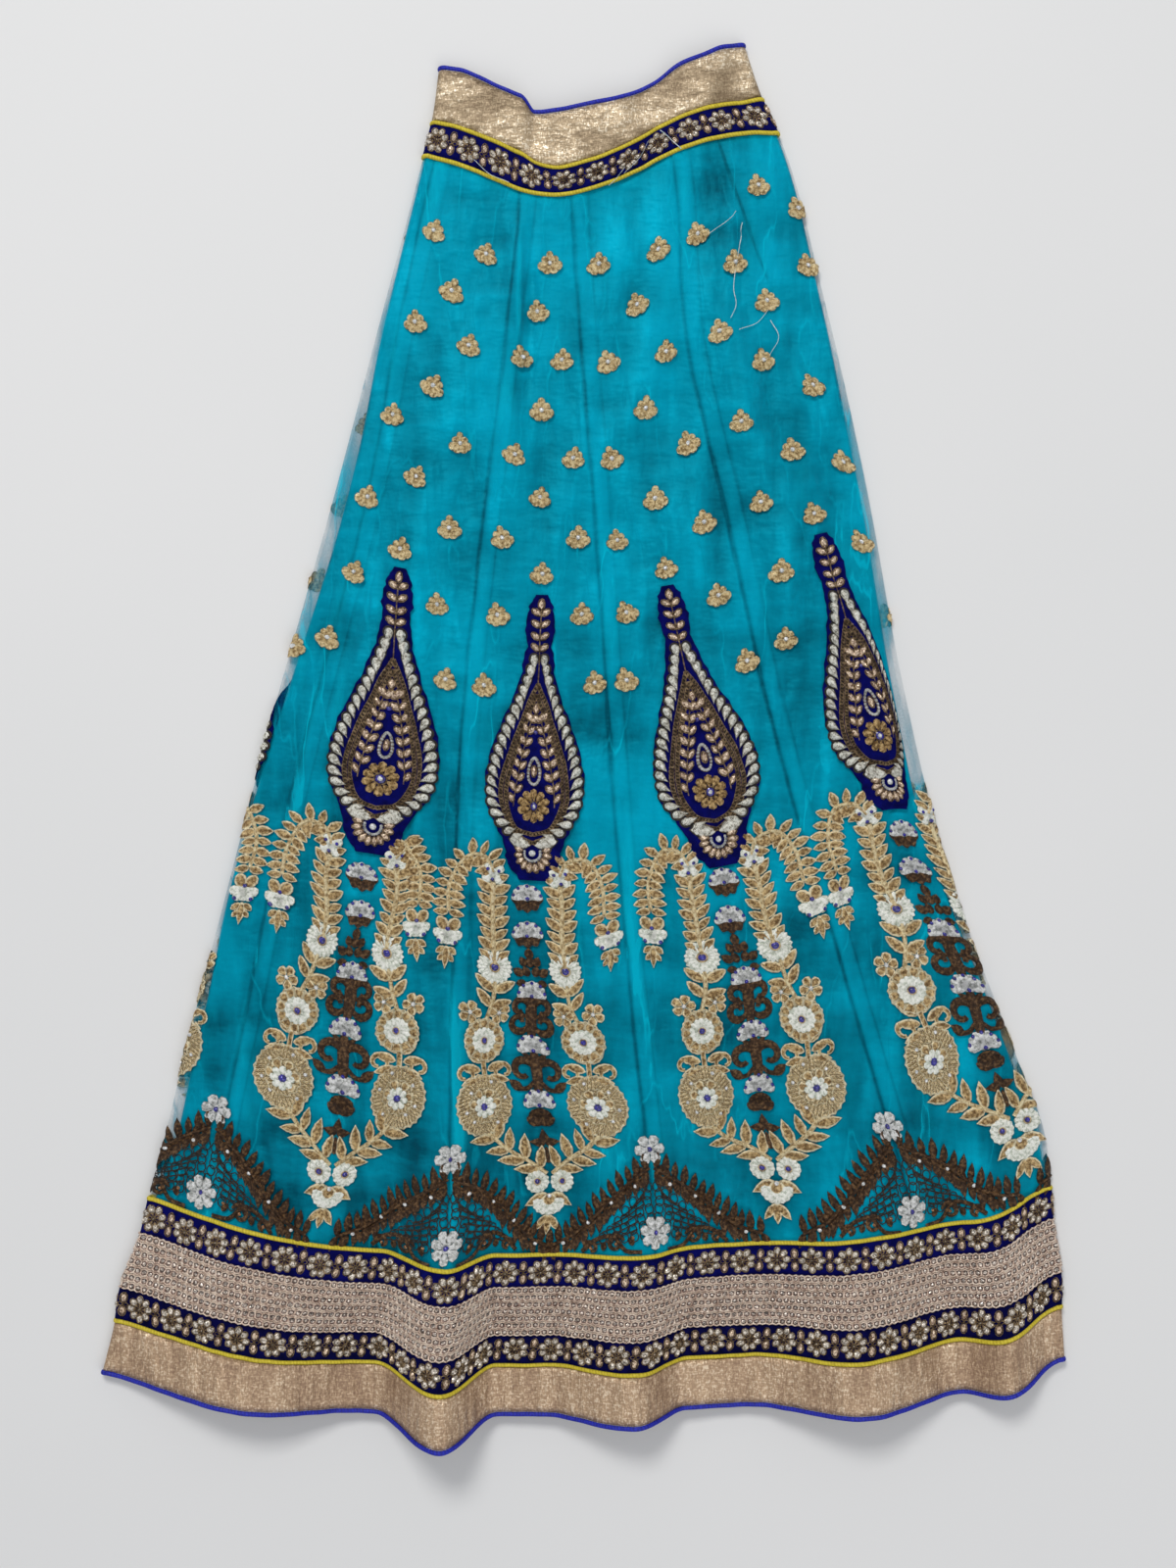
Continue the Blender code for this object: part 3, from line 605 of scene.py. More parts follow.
def stroke(path, width, height, columns=4, taper=None):
    """A stitched cord along a path of (across, down): a low arch carried along it. taper is its width at each
    path point as a share of width."""
    path = np.asarray(path, float)
    way = np.gradient(path, axis=0)
    way = way / np.maximum(np.linalg.norm(way, axis=1, keepdims=True), 1e-9)
    side = np.stack([-way[:, 1], way[:, 0]], 1)
    u = np.linspace(1, -1, columns)
    wide = width / 2 * (np.ones(len(path)) if taper is None else np.asarray(taper))
    flat = path[:, None, :] + side[:, None, :] * (u[None, :, None] * wide[:, None, None])
    z = height * (1 - u**2)[None, :] * (wide[:, None] * 2 / width) - SINK
    points = np.concatenate([flat, z[..., None]], -1)
    length = lengths_along(path)
    uv = np.stack([u[None, :] * wide[:, None], length[:, None] + 0 * u[None, :]], -1)
    crest = (1 - u[None, :] ** 2) * (wide[:, None] * 2 / width)
    return Shape(points.reshape(-1, 3), grid_faces(len(path), columns), uv.reshape(-1, 2), crest.ravel())


def curve(points, count):
    """A smooth path of count points through a few given ones, evenly spaced along it."""
    points = np.asarray(points, float)
    knots = lengths_along(points)
    fine = np.linspace(0, knots[-1], 160)
    path = np.stack([smooth(fine, knots, points[:, k]) for k in (0, 1)], 1)
    length = lengths_along(path)
    even = np.linspace(0, length[-1], count)
    return read_off(even, length, path)


def directions(path):
    """Unit directions along a path."""
    way = np.gradient(np.asarray(path, float), axis=0)
    return way / np.linalg.norm(way, axis=1, keepdims=True)


def flower(petals, reach, width, height, inner=1.0, full=0.66, tip=0.45, first=0.0, rows=5, columns=4):
    """Equal blunt petals round a centre, each starting at the inner radius."""
    turns = first + np.arange(petals) * 2 * math.pi / petals
    one = petal(reach - inner, width, height, full, 0.6, tip, rows, columns)
    return one.around(turns, inner)


def ring(radius, width, height, sides=20, scallops=0, depth=0.0, tall=1.0):
    """A closed round cord, plain or scalloped."""
    turn = np.linspace(0, 2 * math.pi, sides + 1)
    reach = radius * (1 - depth * np.abs(np.cos(scallops * turn / 2)))
    return stroke(np.stack([reach * np.cos(turn), tall * reach * np.sin(turn)], 1), width, height, 3)


def scroll(across, down, radius, first, sweep, width, height, side=1, count=15):
    """A curl: a thick cord on a spiral that closes in to 45% of its radius, thinner towards its inner end."""
    t = np.linspace(0, 1, count)
    reach = radius * (1 - 0.55 * t**1.3)
    turn = np.radians(first + sweep * t)
    path = np.stack([across + side * reach * np.cos(turn), down + reach * np.sin(turn)], 1)
    return stroke(path, width, height, 4, np.clip(np.minimum(0.45 + 3 * t, 1.15 - 0.55 * t), 0, 1))


def fan(
    count, length, width, height, spread, across=0.0, down=0.0, heading=180.0, tip=0.45, full=0.7, inner=0.0,
):
    """Petals fanned about a heading in degrees, where 180 is up: they start from one point or round it."""
    angles = np.radians(heading + np.linspace(-spread / 2, spread / 2, count))
    one = petal(length, width, height, full, 0.7, tip)
    return one.placed(across - np.sin(angles) * inner, down + np.cos(angles) * inner, angles)


def sprig(
    path, leaves, length, width, height, open_left, open_right, stem=1.6, first=0.04, last=0.98, tip=1.05,
):
    """A stem, and the leaves in pairs along it. Each leaf makes an angle, in degrees, with the way on along
    the stem."""
    fine = curve(path, 40)
    at_leaf = np.linspace(first, last, leaves) * 39
    places = read_off(at_leaf, np.arange(40), fine)
    ways = directions(fine)[np.clip(at_leaf.astype(int), 0, 39)]
    heading = toward(ways[:, 0], ways[:, 1])
    size = 1 + 0.08 * np.sin(np.arange(leaves) * 2.4)
    one = petal(length, width, height, 0.42, 0.75, tip)
    left = one.placed(places[:, 0], places[:, 1], heading + np.radians(open_left), size)
    right = one.placed(places[:, 0], places[:, 1], heading - np.radians(open_right), size)
    return stroke(fine[::2], stem, height * 1.35), join(left, right)


# ---- Motifs: what each thread or bead makes of them ----
def merge(*motifs):
    """One motif from several: the shapes of each thread joined."""
    threads = {thread for motif in motifs for thread in motif}
    return {t: join(*[motif[t] for motif in motifs if t in motif]) for t in sorted(threads)}


def place(motif, *where, **how):
    return {thread: shape.placed(*where, **how) for thread, shape in motif.items()}


def mirror(motif):
    return {thread: shape.mirrored() for thread, shape in motif.items()}


def both_sides(motif):
    return merge(motif, mirror(motif))


def swayed(motif, seed, reach=1.0):
    """A motif as sewn cloth carries it: slow sine waves, begun afresh for each seed, push its points a few
    millimetres aside and up or down."""
    begin = np.random.default_rng(seed).uniform(0, 6.28, 4)
    moved = {}
    for thread, shape in motif.items():
        x, y, z = shape.points.T
        aside = 1.7 * np.sin(y / 27 + x / 40 + begin[0]) + 0.9 * np.sin(y / 11 + x / 23 + begin[1])
        along = 1.6 * np.sin(x / 18 + begin[2]) + 0.7 * np.sin(x / 9 + y / 30 + begin[3])
        points = np.stack([x + reach * aside, y + reach * along, z], 1)
        moved[thread] = Shape(points, shape.faces, shape.uv, shape.edge_shade)
    return moved


def buti():
    """A small flower like a tulip bulb, 16 mm wide: a round knob on top, a shoulder under it on each side,
    four lobes that fan out below with a pale gold folded edge above them, partly a painted highlight along
    the fold, and a pearl."""
    knob = petal(9.2, 5.4, 1.7, 0.66, 0.7, 0.4).placed(0, 0.2, math.pi, lift=0.3)
    shoulder = petal(6.9, 6.0, 1.6, 0.60, 0.6, 0.4)
    shoulders = shoulder.placed([0.2, -0.2], 0.0, np.radians([238, 122]), lift=0.2)
    lobe = petal(9.0, 7.6, 1.8, 0.60, 0.6, 0.4, 6, 4)
    fan_turns = np.radians([292, 68, 336, 24])
    lobes = lobe.placed([-0.6, 0.6, -0.3, 0.3], [1.0, 1.0, 0.4, 0.4], -fan_turns, lift=[0.5, 0.5, 0.2, 0.2])
    # the pale gold fold line is partly a painted highlight along the folded edge
    fold = stroke(curve([(0.4, 1.8), (3.0, 0.4), (5.6, 0.6), (7.6, 2.2)], 8), 1.2, 1.0, 3)
    folds = join(fold, fold.mirrored()).lifted(1.6)
    pearl = dome(1.8, 1.7, 8, 3).placed(0, 0.6, lift=1.8)
    return {"light_gold": join(knob, shoulders, lobes), "pale_gold": folds, "pearl": pearl}


def lotus(beads=5):
    """A half-open silver lotus: lobes fanned over a rounded base, blue beads on the lobes and one below."""
    lobes = fan(7, 12.0, 6.8, 1.7, 168, down=4.6)
    heart = dome(9.0, 1.9, 14, 3, tall=0.6).placed(0, 1.0)
    angles = np.radians(np.linspace(-76, 76, beads))
    tips = dome(1.45, 1.3, 7, 2).placed(10.6 * np.sin(angles), 4.0 - 9.6 * np.cos(angles), lift=1.1)
    low = dome(1.7, 1.4, 7, 2).placed(0, 4.4, lift=1.3)
    return {"beaded": join(lobes, heart), "blue": join(tips, low)}


def calyx():
    """Two broad brown leaves under a lotus, and a bud between them."""
    leaves = petal(12.5, 7.6, 1.2, 0.5, 0.6, 0.7).placed([0, 0], [7, 7], np.radians([-106, 106]))
    bud = petal(8.5, 8.4, 1.4, 0.45, 0.5, 0.8)
    buds = bud.placed([3.4, 0, -3.4], [5, 6, 5], np.radians([-24, 0, 24]), lift=0.1)
    return {"brown": join(leaves, buds)}


def cone():
    """A brown bud like a small pine cone: rows of scales that rise to one point."""
    rows = [(0, -11, 0, 1.0), (-3.4, -5.5, 24, 0.9), (3.4, -5.5, -24, 0.9), (0, -4.5, 0, 1.0)]
    rows += [(-5.8, 1.5, 52, 1.0), (5.8, 1.5, -52, 1.0), (-2.6, 2.5, 14, 0.95), (2.6, 2.5, -14, 0.95)]
    rows += [(-4.6, 7.0, 96, 0.85), (4.6, 7.0, -96, 0.85)]
    across, down, turn, size = np.array(rows, float).T
    scale = petal(9.0, 7.0, 1.3, 0.45, 0.5, 0.9)
    lift = np.linspace(0, 0.5, len(rows))
    return {"brown": scale.placed(across, down + 5, np.radians(180 - turn), size, lift)}


def scrolls():
    """Two pairs of brown curls, one above the other, off a middle stem."""
    stem = stroke([(0, -15), (0, -8), (0, 0), (0, 9), (0, 16)], 8.5, 1.5, 5, [0.6, 1, 1.1, 1, 0.7])
    upper = scroll(8.6, -5.5, 7.4, 150, 330, 6.0, 1.6)
    lower = scroll(10.0, 6.5, 7.2, 160, -330, 6.0, 1.6)
    nub = petal(5, 4, 1.1, 0.5, 0.5, 0.7).placed(4, 1, np.radians(-90))
    right = join(upper, lower, nub)
    return {"brown": join(stem, right, right.mirrored())}


def wide_scrolls():
    """A tall stem with one pair of big curls, a leaf beside each, and two small horns on top."""
    stem = stroke([(0, -21), (0, -12), (0, 0), (0, 12)], 9.0, 1.5, 5, [0.5, 1, 0.9, 0.8])
    curl = scroll(10.0, -4.5, 8.8, 185, 300, 6.2, 1.6)
    horn = petal(8.5, 4.4, 1.1, 0.45, 0.6, 1.0).placed(2.0, -13, np.radians(236))
    leaf = petal(12.5, 7.5, 1.1, 0.45, 0.6, 1.1).placed(12.5, 10.5, np.radians(230))
    stalk = stroke(curve([(3, 4), (9, 9), (14, 9.5)], 7), 3.4, 1.0)
    right = join(curl, horn, leaf, stalk)
    return {"brown": join(stem, right, right.mirrored())}


def cup():
    """A round brown cup of five petals that closes to a point."""
    petals = fan(5, 12.0, 7.5, 1.3, 120, down=9.5, tip=0.6, full=0.55)
    return {"brown": join(petals, dome(9.0, 1.2, 14, 3, tall=0.7).placed(0, 2.5))}


def star_bud():
    """A four-pointed brown star over a drop."""
    points = petal(11.5, 7.0, 1.1, 0.3, 0.6, 1.4).placed(0, 0, np.radians([180, 96, -96]))
    drop = petal(13.5, 7.0, 1.2, 0.6, 0.7, 0.5).placed(0, 2.5)
    return {"brown": join(points, drop)}


def daisy(reach, petals=20):
    """A white flower of many narrow petals round a blue bead in a gold ring."""
    width = 2 * math.pi * reach * 0.8 / petals * 1.2
    white = join(flower(petals, reach, width, 1.4, reach * 0.22, 0.74, 0.35), dome(reach * 0.7, 0.7, 20, 2))
    gold = ring(reach * 0.26, reach * 0.10, 0.7, 14).lifted(1.1)
    blue = dome(reach * 0.23, 1.7, 9, 3).lifted(1.0)
    return {"white": white, "gold": gold, "blue": blue}


def small_gold_flower():
    """Five ruffled gold lobes round a pearl."""
    lobes = flower(5, 8.6, 7.6, 1.2, 0.8, 0.66, 0.4, first=0.5)
    return {"gold": lobes, "pearl": dome(1.6, 1.5, 8, 3).lifted(1.0)}


def rosette():
    """A gold flower 34 mm across: a ruffled gold ring with a cream scalloped rim and cream lines between its
    petals, a white middle of narrow petals and a bead."""
    gold = join(flower(12, 16.6, 8.4, 1.9, 8.5, 0.6, 0.35), dome(14.0, 0.8, 24, 2))
    line = stroke([(0, 9.8), (0, 12.8), (0, 15.6)], 0.9, 0.8, 3, [0.7, 1, 1])
    lines = line.placed(0, 0, (np.arange(12) + 0.5) * math.pi / 6, lift=1.3)
    cream = join(ring(16.4, 1.4, 1.0, 72, 12, 0.09).lifted(0.6), lines)
    white = join(flower(14, 10.6, 5.0, 1.2, 2.0, 0.76, 0.35, rows=4), dome(9.4, 0.8, 20, 2))
    white = white.lifted(0.9)
    gold_ring = ring(2.6, 0.9, 0.7, 14).lifted(2.0)
    blue = dome(2.4, 1.8, 9, 3).lifted(2.0)
    return {"gold": join(gold, gold_ring), "cream": cream, "white": white, "blue": blue}


def big_disc():
    """A netted gold disc, 44 by 48 mm: rings of small chain stitches that lie outwards on a gold ground, five
    satin petals, a cream scalloped rim, pearls and a small white flower."""
    ground = dome(21.0, 1.2, 44, 5, tall=1.1)
    link = petal(3.4, 2.3, 0.9, 0.6, 0.6, 0.6, 4, 3)
    rows = []
    for n, reach in enumerate((7.2, 9.8, 12.4, 15.0, 17.6)):
        turns = (np.arange(int(reach * 2.7)) + 0.5 * (n % 2)) * 2 * math.pi / int(reach * 2.7)
        height = 1.2 * math.sqrt(1 - (reach / 21) ** 2)
        across, down = -np.sin(turns) * reach, 1.1 * np.cos(turns) * reach
        rows.append(link.placed(across, down, turns + 0.35, lift=height))
    rim = ring(21.4, 1.7, 1.4, 96, 24, 0.055, 1.1).lifted(0.1)
    petals = fan(5, 9.5, 8.0, 0.9, 230, 0, -1, 150, 0.4, inner=3.0).lifted(1.5)
    inner_rim = ring(13.6, 0.8, 0.8, 60, 12, 0.14, 1.05).lifted(1.6)
    white = flower(8, 8.8, 5.4, 1.3, 1.5).placed(0, 1, lift=2.2)
    pearls = dome(1.45, 1.6, 8, 3).placed([-7, 10, -16, -10, 9, 15], [-17, -11, -4.5, 14, 11, 3], lift=1.4)
    blue = dome(2.9, 2.1, 9, 3).placed(0, 1, lift=2.8)
    return {
        "netting": ground, "cream": join(rim, inner_rim), "gold": join(petals, *rows), "white": white,
        "pearl": pearls, "blue": blue,
    }


def crown_leaves():
    """Broad leaves and a curl on each side, between two discs."""
    leaf = petal(16.5, 8.0, 1.5, 0.45, 0.7, 0.9)
    leaves = leaf.placed([1.0, 2.5, 2.5], [1, 7, 12], np.radians([228, 252, 284]))
    curl = scroll(15.0, 8.5, 6.4, 150, 300, 4.6, 1.4)
    right = join(leaves, curl)
    return {"gold": join(right, right.mirrored(), stroke([(0, -5), (0, 4), (0, 12)], 4.0, 1.4))}


def white_cluster():
    """Four white lobes and three blue beads."""
    lobes = petal(9.5, 7.4, 1.4, 0.66, 0.6, 0.4).placed(0, 0, np.radians([42, 128, 218, 305]))
    beads = dome(1.5, 1.4, 7, 2).placed([-4, 4.5, 1], [-2, -3.5, 4.5], lift=1.1)
    return {"white": join(lobes, dome(4.5, 1.2, 10, 2)), "blue": beads}


def hanging_flower():
    """A white shell of stitched arcs between two round lobes, with three blue beads, under two gold lobes,
    and a gold leaf with a notched edge that hangs from it."""
    shell = join(
        dome(6.4, 1.5, 14, 3).placed(0, -0.5),
        petal(9.6, 7.4, 1.5, 0.6, 0.6, 0.4).placed([-1.6, 1.6], -2.5, np.radians([28, -28]), lift=0.2),
        petal(12.4, 7.6, 1.4, 0.72, 0.6, 0.35).placed([1, -1], [-3.5, -3.5], np.radians([78, -78])),
    )
    bow = np.radians(np.linspace(35, 145, 9))
    bows = [np.stack([r * np.cos(bow), r * np.sin(bow) - 4.0], 1) for r in (4.0, 6.6, 9.2)]
    arcs = [stroke(path, 1.7, 1.0, 3) for path in bows]
    beads = dome(1.7, 1.5, 8, 3).placed([0, -6.0, 6.0], [-6.0, 4.2, 4.2], lift=1.4)
    lobes = petal(12.5, 10.0, 1.5, 0.55, 0.5, 0.45).placed([-0.5, 0.5], [-4, -4], np.radians([146, 214]))
    tail = join(
        petal(18, 6.8, 1.7, 0.35, 0.6, 1.1).placed(0, 7, lift=0.3),
        petal(8.6, 5.8, 1.5, 0.5, 0.6, 0.8).placed([-1, 1], [8, 8], np.radians([52, -52])),
        petal(7.4, 5.0, 1.4, 0.5, 0.6, 0.8).placed([-1, 1], [13.5, 13.5], np.radians([44, -44])),
    )
    return {"white": join(shell, *arcs).lifted(0.3), "blue": beads, "gold": join(lobes, tail)}


def tail_flower():
    """Twin daisies, a gold tulip, a white scalloped collar and a gold pendant of three leaves."""
    twins = both_sides(place(daisy(9.4, 13), 9.6, 0))
    tulip = join(
        petal(19, 9.5, 1.2, 0.42, 0.7, 1.1).placed([1.5, -1.5], [10, 10], np.radians([-64, 64])),
        petal(13, 12, 1.2, 0.5, 0.6, 0.7).placed([4, -4], [9, 9], np.radians([-24, 24]), lift=0.2),
    )
    frill = petal(13.5, 6.6, 1.5, 0.75, 0.7, 0.35)
    collar = frill.placed(0, 12.0, np.radians(np.linspace(-82, 82, 9)), lift=0.35)
    collar.points[:, 1] = 12 + (collar.points[:, 1] - 12) * 0.98 + 2.0
    heart = petal(10, 13, 1.3, 0.5, 0.5, 0.5).placed(0, 9.5, lift=1.0)
    pendant = petal(16, 7.0, 1.2, 0.45, 0.7, 1.1).placed(0, 26.5, np.radians([-38, 0, 38]))
    pearl = {"pearl": dome(1.8, 1.6, 8, 3).placed(0, 11.5, lift=1.8)}
    return merge(twins, {"gold": join(tulip, heart, pendant), "white": collar}, pearl)


def garland_side(hang):
    """The right half of a garland: an arch goes over from the cluster to a flower that hangs so many
    millimetres out. Below it leaves, a daisy, a rosette and a disc stand one over another, down to the spray
    at the foot."""
    arch = [(24, 602), (31, 590), (hang - 17, 588), (hang - 5, 606), (hang - 2, 634)]
    arm = [(2, 832), (14, 822), (28, 812), (41, 799)]
    stems, leaves = zip(
        sprig(arch, 11, 12.8, 7.6, 1.9, 76, 80, 3.2, tip=0.8),
        sprig([(25.5, 672), (25.5, 650), (26, 628), (24, 608)], 8, 14.4, 8.0, 1.9, 50, 56, 4.4, tip=0.8),
        sprig([(37, 714), (31, 700), (27, 684)], 2, 17.0, 8.6, 1.7, 54, 54, 3.4, 0.34, 0.72, 0.6),
        sprig(arm, 4, 19.5, 8.8, 1.9, 40, 62, 3.4, 0.12, 0.82),
    )
    return merge(
        {"gold": join(*leaves), "pale_gold": join(*stems)},
        place(white_cluster(), 24, 603, lift=0.6),
        place(hanging_flower(), hang, 652, np.radians(-6)),
        place(daisy(13.0), 26, 674, lift=0.5),
        place(small_gold_flower(), 26, 709, 0.3, 1.05),
        place(small_gold_flower(), 49, 708, -0.3, 1.05),
        place(crown_leaves(), 40, 745),
        place(rosette(), 38.5, 729, lift=0.3),
        place(big_disc(), 42.5, 778, lift=0.2),
    )


def garland(hang_left=60, hang_right=60):
    """The tall motif in the middle of a gore, from the patch's foot to the pendant at the hem."""
    lotuses = [(616, 0.98), (645, 1.0), (692, 1.0), (733, 1.05), (774, 1.06)]
    middle_line = [place(lotus(), 0, down, size=size, lift=0.2) for down, size in lotuses]
    forms = (calyx(), calyx(), cone(), scrolls(), wide_scrolls(), cup(), star_bud())
    downs = (617, 645, 674, 711, 758, 785, 808)
    middle_line += [place(form, 0, down) for form, down in zip(forms, downs)]
    left, right = mirror(garland_side(hang_left)), garland_side(hang_right)
    return merge(*middle_line, left, right, place(tail_flower(), 0, 838, lift=0.3))


def silver_flower(petals, tall=1.0):
    """Broad silver petals round a blue bead."""
    shape = flower(petals, 11.5, 8.4 * 6 / petals, 1.6, 1.2, 0.68, 0.4)
    shape.points[:, 1] *= tall
    return {"beaded": join(shape, dome(4.0, 1.3, 10, 2)), "blue": dome(2.1, 1.9, 8, 3).lifted(1.1)}


def border():
    """The brown zigzag that runs over a seam: two fern bands down from a silver flower, lace and curls
    between them, and a second flower below."""
    fern = [(2, 829), (24, 844), (46, 864), (66, 880), (84, 888)]
    band_leaves = join(*sprig(fern, 13, 15.0, 6.2, 1.9, 44, 114, 3.0, 0.02, 0.97))
    inner_row = join(*sprig([(4, 834), (26, 850), (47, 869), (64, 882)], 12, 9.0, 5.0, 1.5, 40, 118, 2.0))
    curls = join(
        scroll(30, 884, 6.6, 200, 300, 4.0, 1.2),
        scroll(49, 887, 5.0, 20, -300, 3.6, 1.2),
        stroke(curve([(10, 891), (22, 890), (33, 878), (44, 880), (56, 890)], 14), 3.2, 1.1),
        petal(7, 5, 1.1).placed([17, 40], [886, 889], np.radians([200, 170])),
    )
    lace = join(*[
        stroke(
            curve([(2 + 2 * n, 838 + 6 * n), (6 + 5 * n, 846 + 6 * n), (10 + 7.5 * n, 853 + 5.5 * n)], 8),
            1.1, 0.6, 3,
        )
        for n in range(7)
    ])
    mesh_turns = []
    for n in range(7):
        k = np.arange(n + 1)
        across = 3.5 + 6.3 * k + 1.2 * np.sin(k * 5.0 + n)
        down = 842 + 6.2 * n + 1.1 * np.cos(k * 4.0 + n)
        mesh_turns.append(ring(3.1, 0.9, 0.5, 8, tall=1.25).placed(across, down))
    pearls = dome(1.6, 1.6, 8, 3).placed([13, 32, 50, 70], [842, 853, 868, 884], lift=1.4)
    copper = dome(1.5, 1.3, 7, 2).placed([30, 49, 17], [884, 887, 880], lift=0.8)
    side = {
        "brown": join(band_leaves, inner_row, curls), "lace": join(lace, *mesh_turns),
        "pearl": pearls, "copper": copper,
    }
    upper = place(silver_flower(6), 0, 815, 0.52, lift=0.6)
    lower = place(silver_flower(7, 1.12), 0, 877, lift=0.8)
    return merge(both_sides(side), upper, lower)


# ---- Laying the embroidery on the gores ----
# The small flowers, in millimetres down, and across from the gore's middle, on a back gore and on the front.
Buti = namedtuple("Buti", "down across")
BUTIS = table(Buti,
    (131, -20), (131, 20), (167, 0), (204, -19), (204, 19), (243, 0), (281, -25),
    (281, 25), (315, 0), (346, -29), (346, 29), (371, 0), (405, -34), (405, 34),
    (458, -45), (458, 45),
)
FRONT_BUTIS = {
    1: table(Buti,
        (126, -20), (130, 20), (166, 1), (197, -21), (203, 21), (241, 1), (270, -25),
        (279, 28), (312, 1), (336, -32), (345, 32), (369, -1), (394, -33), (405, 31),
        (447, -48), (460, 43),
    ),
    2: table(Buti,
        (126, 3), (164, -5), (202, -16), (203, 15), (242, 0), (279, -20), (281, 25),
        (311, 0), (345, -29), (343, 29), (371, 2), (405, -31), (403, 33), (460, -40),
        (456, 44),
    ),
    3: table(Buti,
        (133, -25), (137, 20), (172, 1), (210, -24), (214, 20), (251, 1), (284, -29),
        (285, 29), (320, 0), (347, -33), (346, 33), (374, 0), (404, -35), (404, 35),
        (456, -45), (460, 46),
    ),
    4: table(Buti,
        (138, -25), (113, 26), (167, -2), (214, -24), (201, 15), (244, 1), (283, -27),
        (271, 31), (316, 1), (346, -33), (330, 35), (368, 0), (403, -34), (392, 30),
        (454, -43), (448, 45), (131, 53), (176, 52),
    ),
}


def on_line(shape, girth_at, number):
    """Lays a shape on the net: its across counts from a gore's middle line or from a seam, whichever line
    girth_at gives, and its height from the net's outside, half the wall off its middle surface."""
    down = shape.points[:, 1] / 1000
    girth = girth_at(number, down) + shape.points[:, 0] / 1000
    return raised(station_of(girth, down), down, (HALF_WALL + shape.points[:, 2]) / 1000)


def on_front(shape):
    """Lays a shape on the front: its across is millimetres round from the left fold."""
    down = shape.points[:, 1] / 1000
    return raised(shape.points[:, 0] / 1000 / flat_width(down), down, shape.points[:, 2] / 1000)


# ---- The padded velvet patches ----
# Where each front patch has its tip, middle and foot, as shares of the front's width, how far down its tip
# and foot lie, and its width as a share of the common one.
Patch = namedtuple("Patch", "tip_across mid_across foot_across tip_down foot_down wide")
PATCHES = {
    1: Patch(0.143, 0.175, 0.181, 0.384, 0.603, 1.05),
    2: Patch(0.401, 0.413, 0.420, 0.388, 0.605, 0.94),
    3: Patch(0.628, 0.676, 0.698, 0.388, 0.606, 0.99),
    4: Patch(0.906, 0.944, 0.953, 0.385, 0.601, 0.90),
}
BACK_PATCH = (0.386, 0.604)  # the tip and foot of those on the back
LEFT_PATCH_OFFSET = 0.061    # from the first seam back to the middle of the last gore's patch
PATCH_EDGE = 0.9             # its thickness at the rim, in millimetres, as is all that is drawn on a patch
PATCH_CROWN = 2.6            # and where it is padded most
PATCH_STAND = 0.7            # where its thickness counts from, off the cloth's middle surface
PATCH_FOOT = 0.0006          # where its underside lies, in metres
PATCH_MARGIN = 0.050         # share of the front, by the right fold, in which a patch is squeezed
PAD_ROWS, PAD_COLUMNS = 61, 23

# Half the common patch's width for each share of the way from its tip to its foot.
PatchWidth = namedtuple("PatchWidth", "along half")
PATCH_WIDTHS = table(PatchWidth,
    (0.00, 4.5), (0.06, 9.8), (0.20, 10.5), (0.30, 15.0), (0.40, 22.5), (0.50, 31.5),
    (0.60, 38.0), (0.67, 39.5), (0.76, 36.5), (0.87, 24.2), (0.93, 21.0), (1.00, 10.5),
)
PATCH_LENGTH = 217.0

# The middles of the commas' heads, and where each points, in degrees from up.
CommaPlace = namedtuple("CommaPlace", "down across heading")
COMMA_LINE = table(CommaPlace,
    (50, 4.0, 10), (68, 9.2, 16), (92, 18.5, 27), (115, 27.8, 35),
    (132, 33.0, 45), (148, 35.2, 60), (160, 34.0, 78), (171, 29.0, 98),
    (179, 22.0, 114), (184, 14.5, 122),
)
COMMAS = 19

# The right half of the drop that the chains draw, and then the line of the stones inside it.
DropPlace = namedtuple("DropPlace", "down across")
CHAIN_DROP = table(DropPlace,
    (69, 0), (84, 7.0), (99, 12.8), (114, 18.0), (131, 23.5),
    (145, 26.6), (156, 27.0), (167, 24.0), (177, 18.0), (184, 10.0),
    (188.5, 0),
)
STONE_LINE = [
    (2.5, 93), (5.5, 102), (7.6, 111), (10.2, 122), (12.6, 133), (14.4, 143), (15.8, 152), (16.4, 161),
]


def patch_place(gore, x, y):
    """Station and distance down of a point of a patch, given in millimetres across from its middle and down
    from its tip. The patch by the right fold is squeezed where the front turns away."""
    along = y / PATCH_LENGTH
    if gore not in PATCHES:
        down = BACK_PATCH[0] + (BACK_PATCH[1] - BACK_PATCH[0]) * along
        centre = seam_girth(1, down) - LEFT_PATCH_OFFSET if gore == 8 else centre_girth(gore, down)
        return station_of(centre + x / 1000, down), down
    row = PATCHES[gore]
    x = x * (1 + (row.wide - 1) * ramp(along / 0.3) * ramp((1 - along) / 0.15))
    down = row.tip_down + (row.foot_down - row.tip_down) * along
    middles = np.array([row.tip_across, row.mid_across, row.foot_across])
    across = smooth(along, np.array([0, 0.53, 1]), middles) + x / 1000 / flat_width(down)
    near = 1 - PATCH_MARGIN
    squeezed = near + (PATCH_MARGIN - 0.004) * (1 - np.exp((near - across) / (PATCH_MARGIN - 0.004)))
    return np.where(across > near, squeezed, across), down


def patch_thickness(x, y):
    """A patch's thickness: thin at its rim and padded along its middle."""
    half = smooth(y / PATCH_LENGTH, column(PATCH_WIDTHS, "along"), column(PATCH_WIDTHS, "half"))
    side = np.clip(np.abs(x) / half, 0, 1)
    along = y / PATCH_LENGTH
    bulge = (1 - side**2) * ramp(along / 0.12) * ramp((1 - along) / 0.12)
    return PATCH_EDGE + (PATCH_CROWN - PATCH_EDGE) * bulge


def on_patch(shape, gore):
    """Lays a shape on a patch, on top of its padding."""
    x, y, z = shape.points.T
    station, down = patch_place(gore, x, y)
    return raised(station, down, (PATCH_STAND + patch_thickness(x, np.clip(y, 0, PATCH_LENGTH)) + z) / 1000)


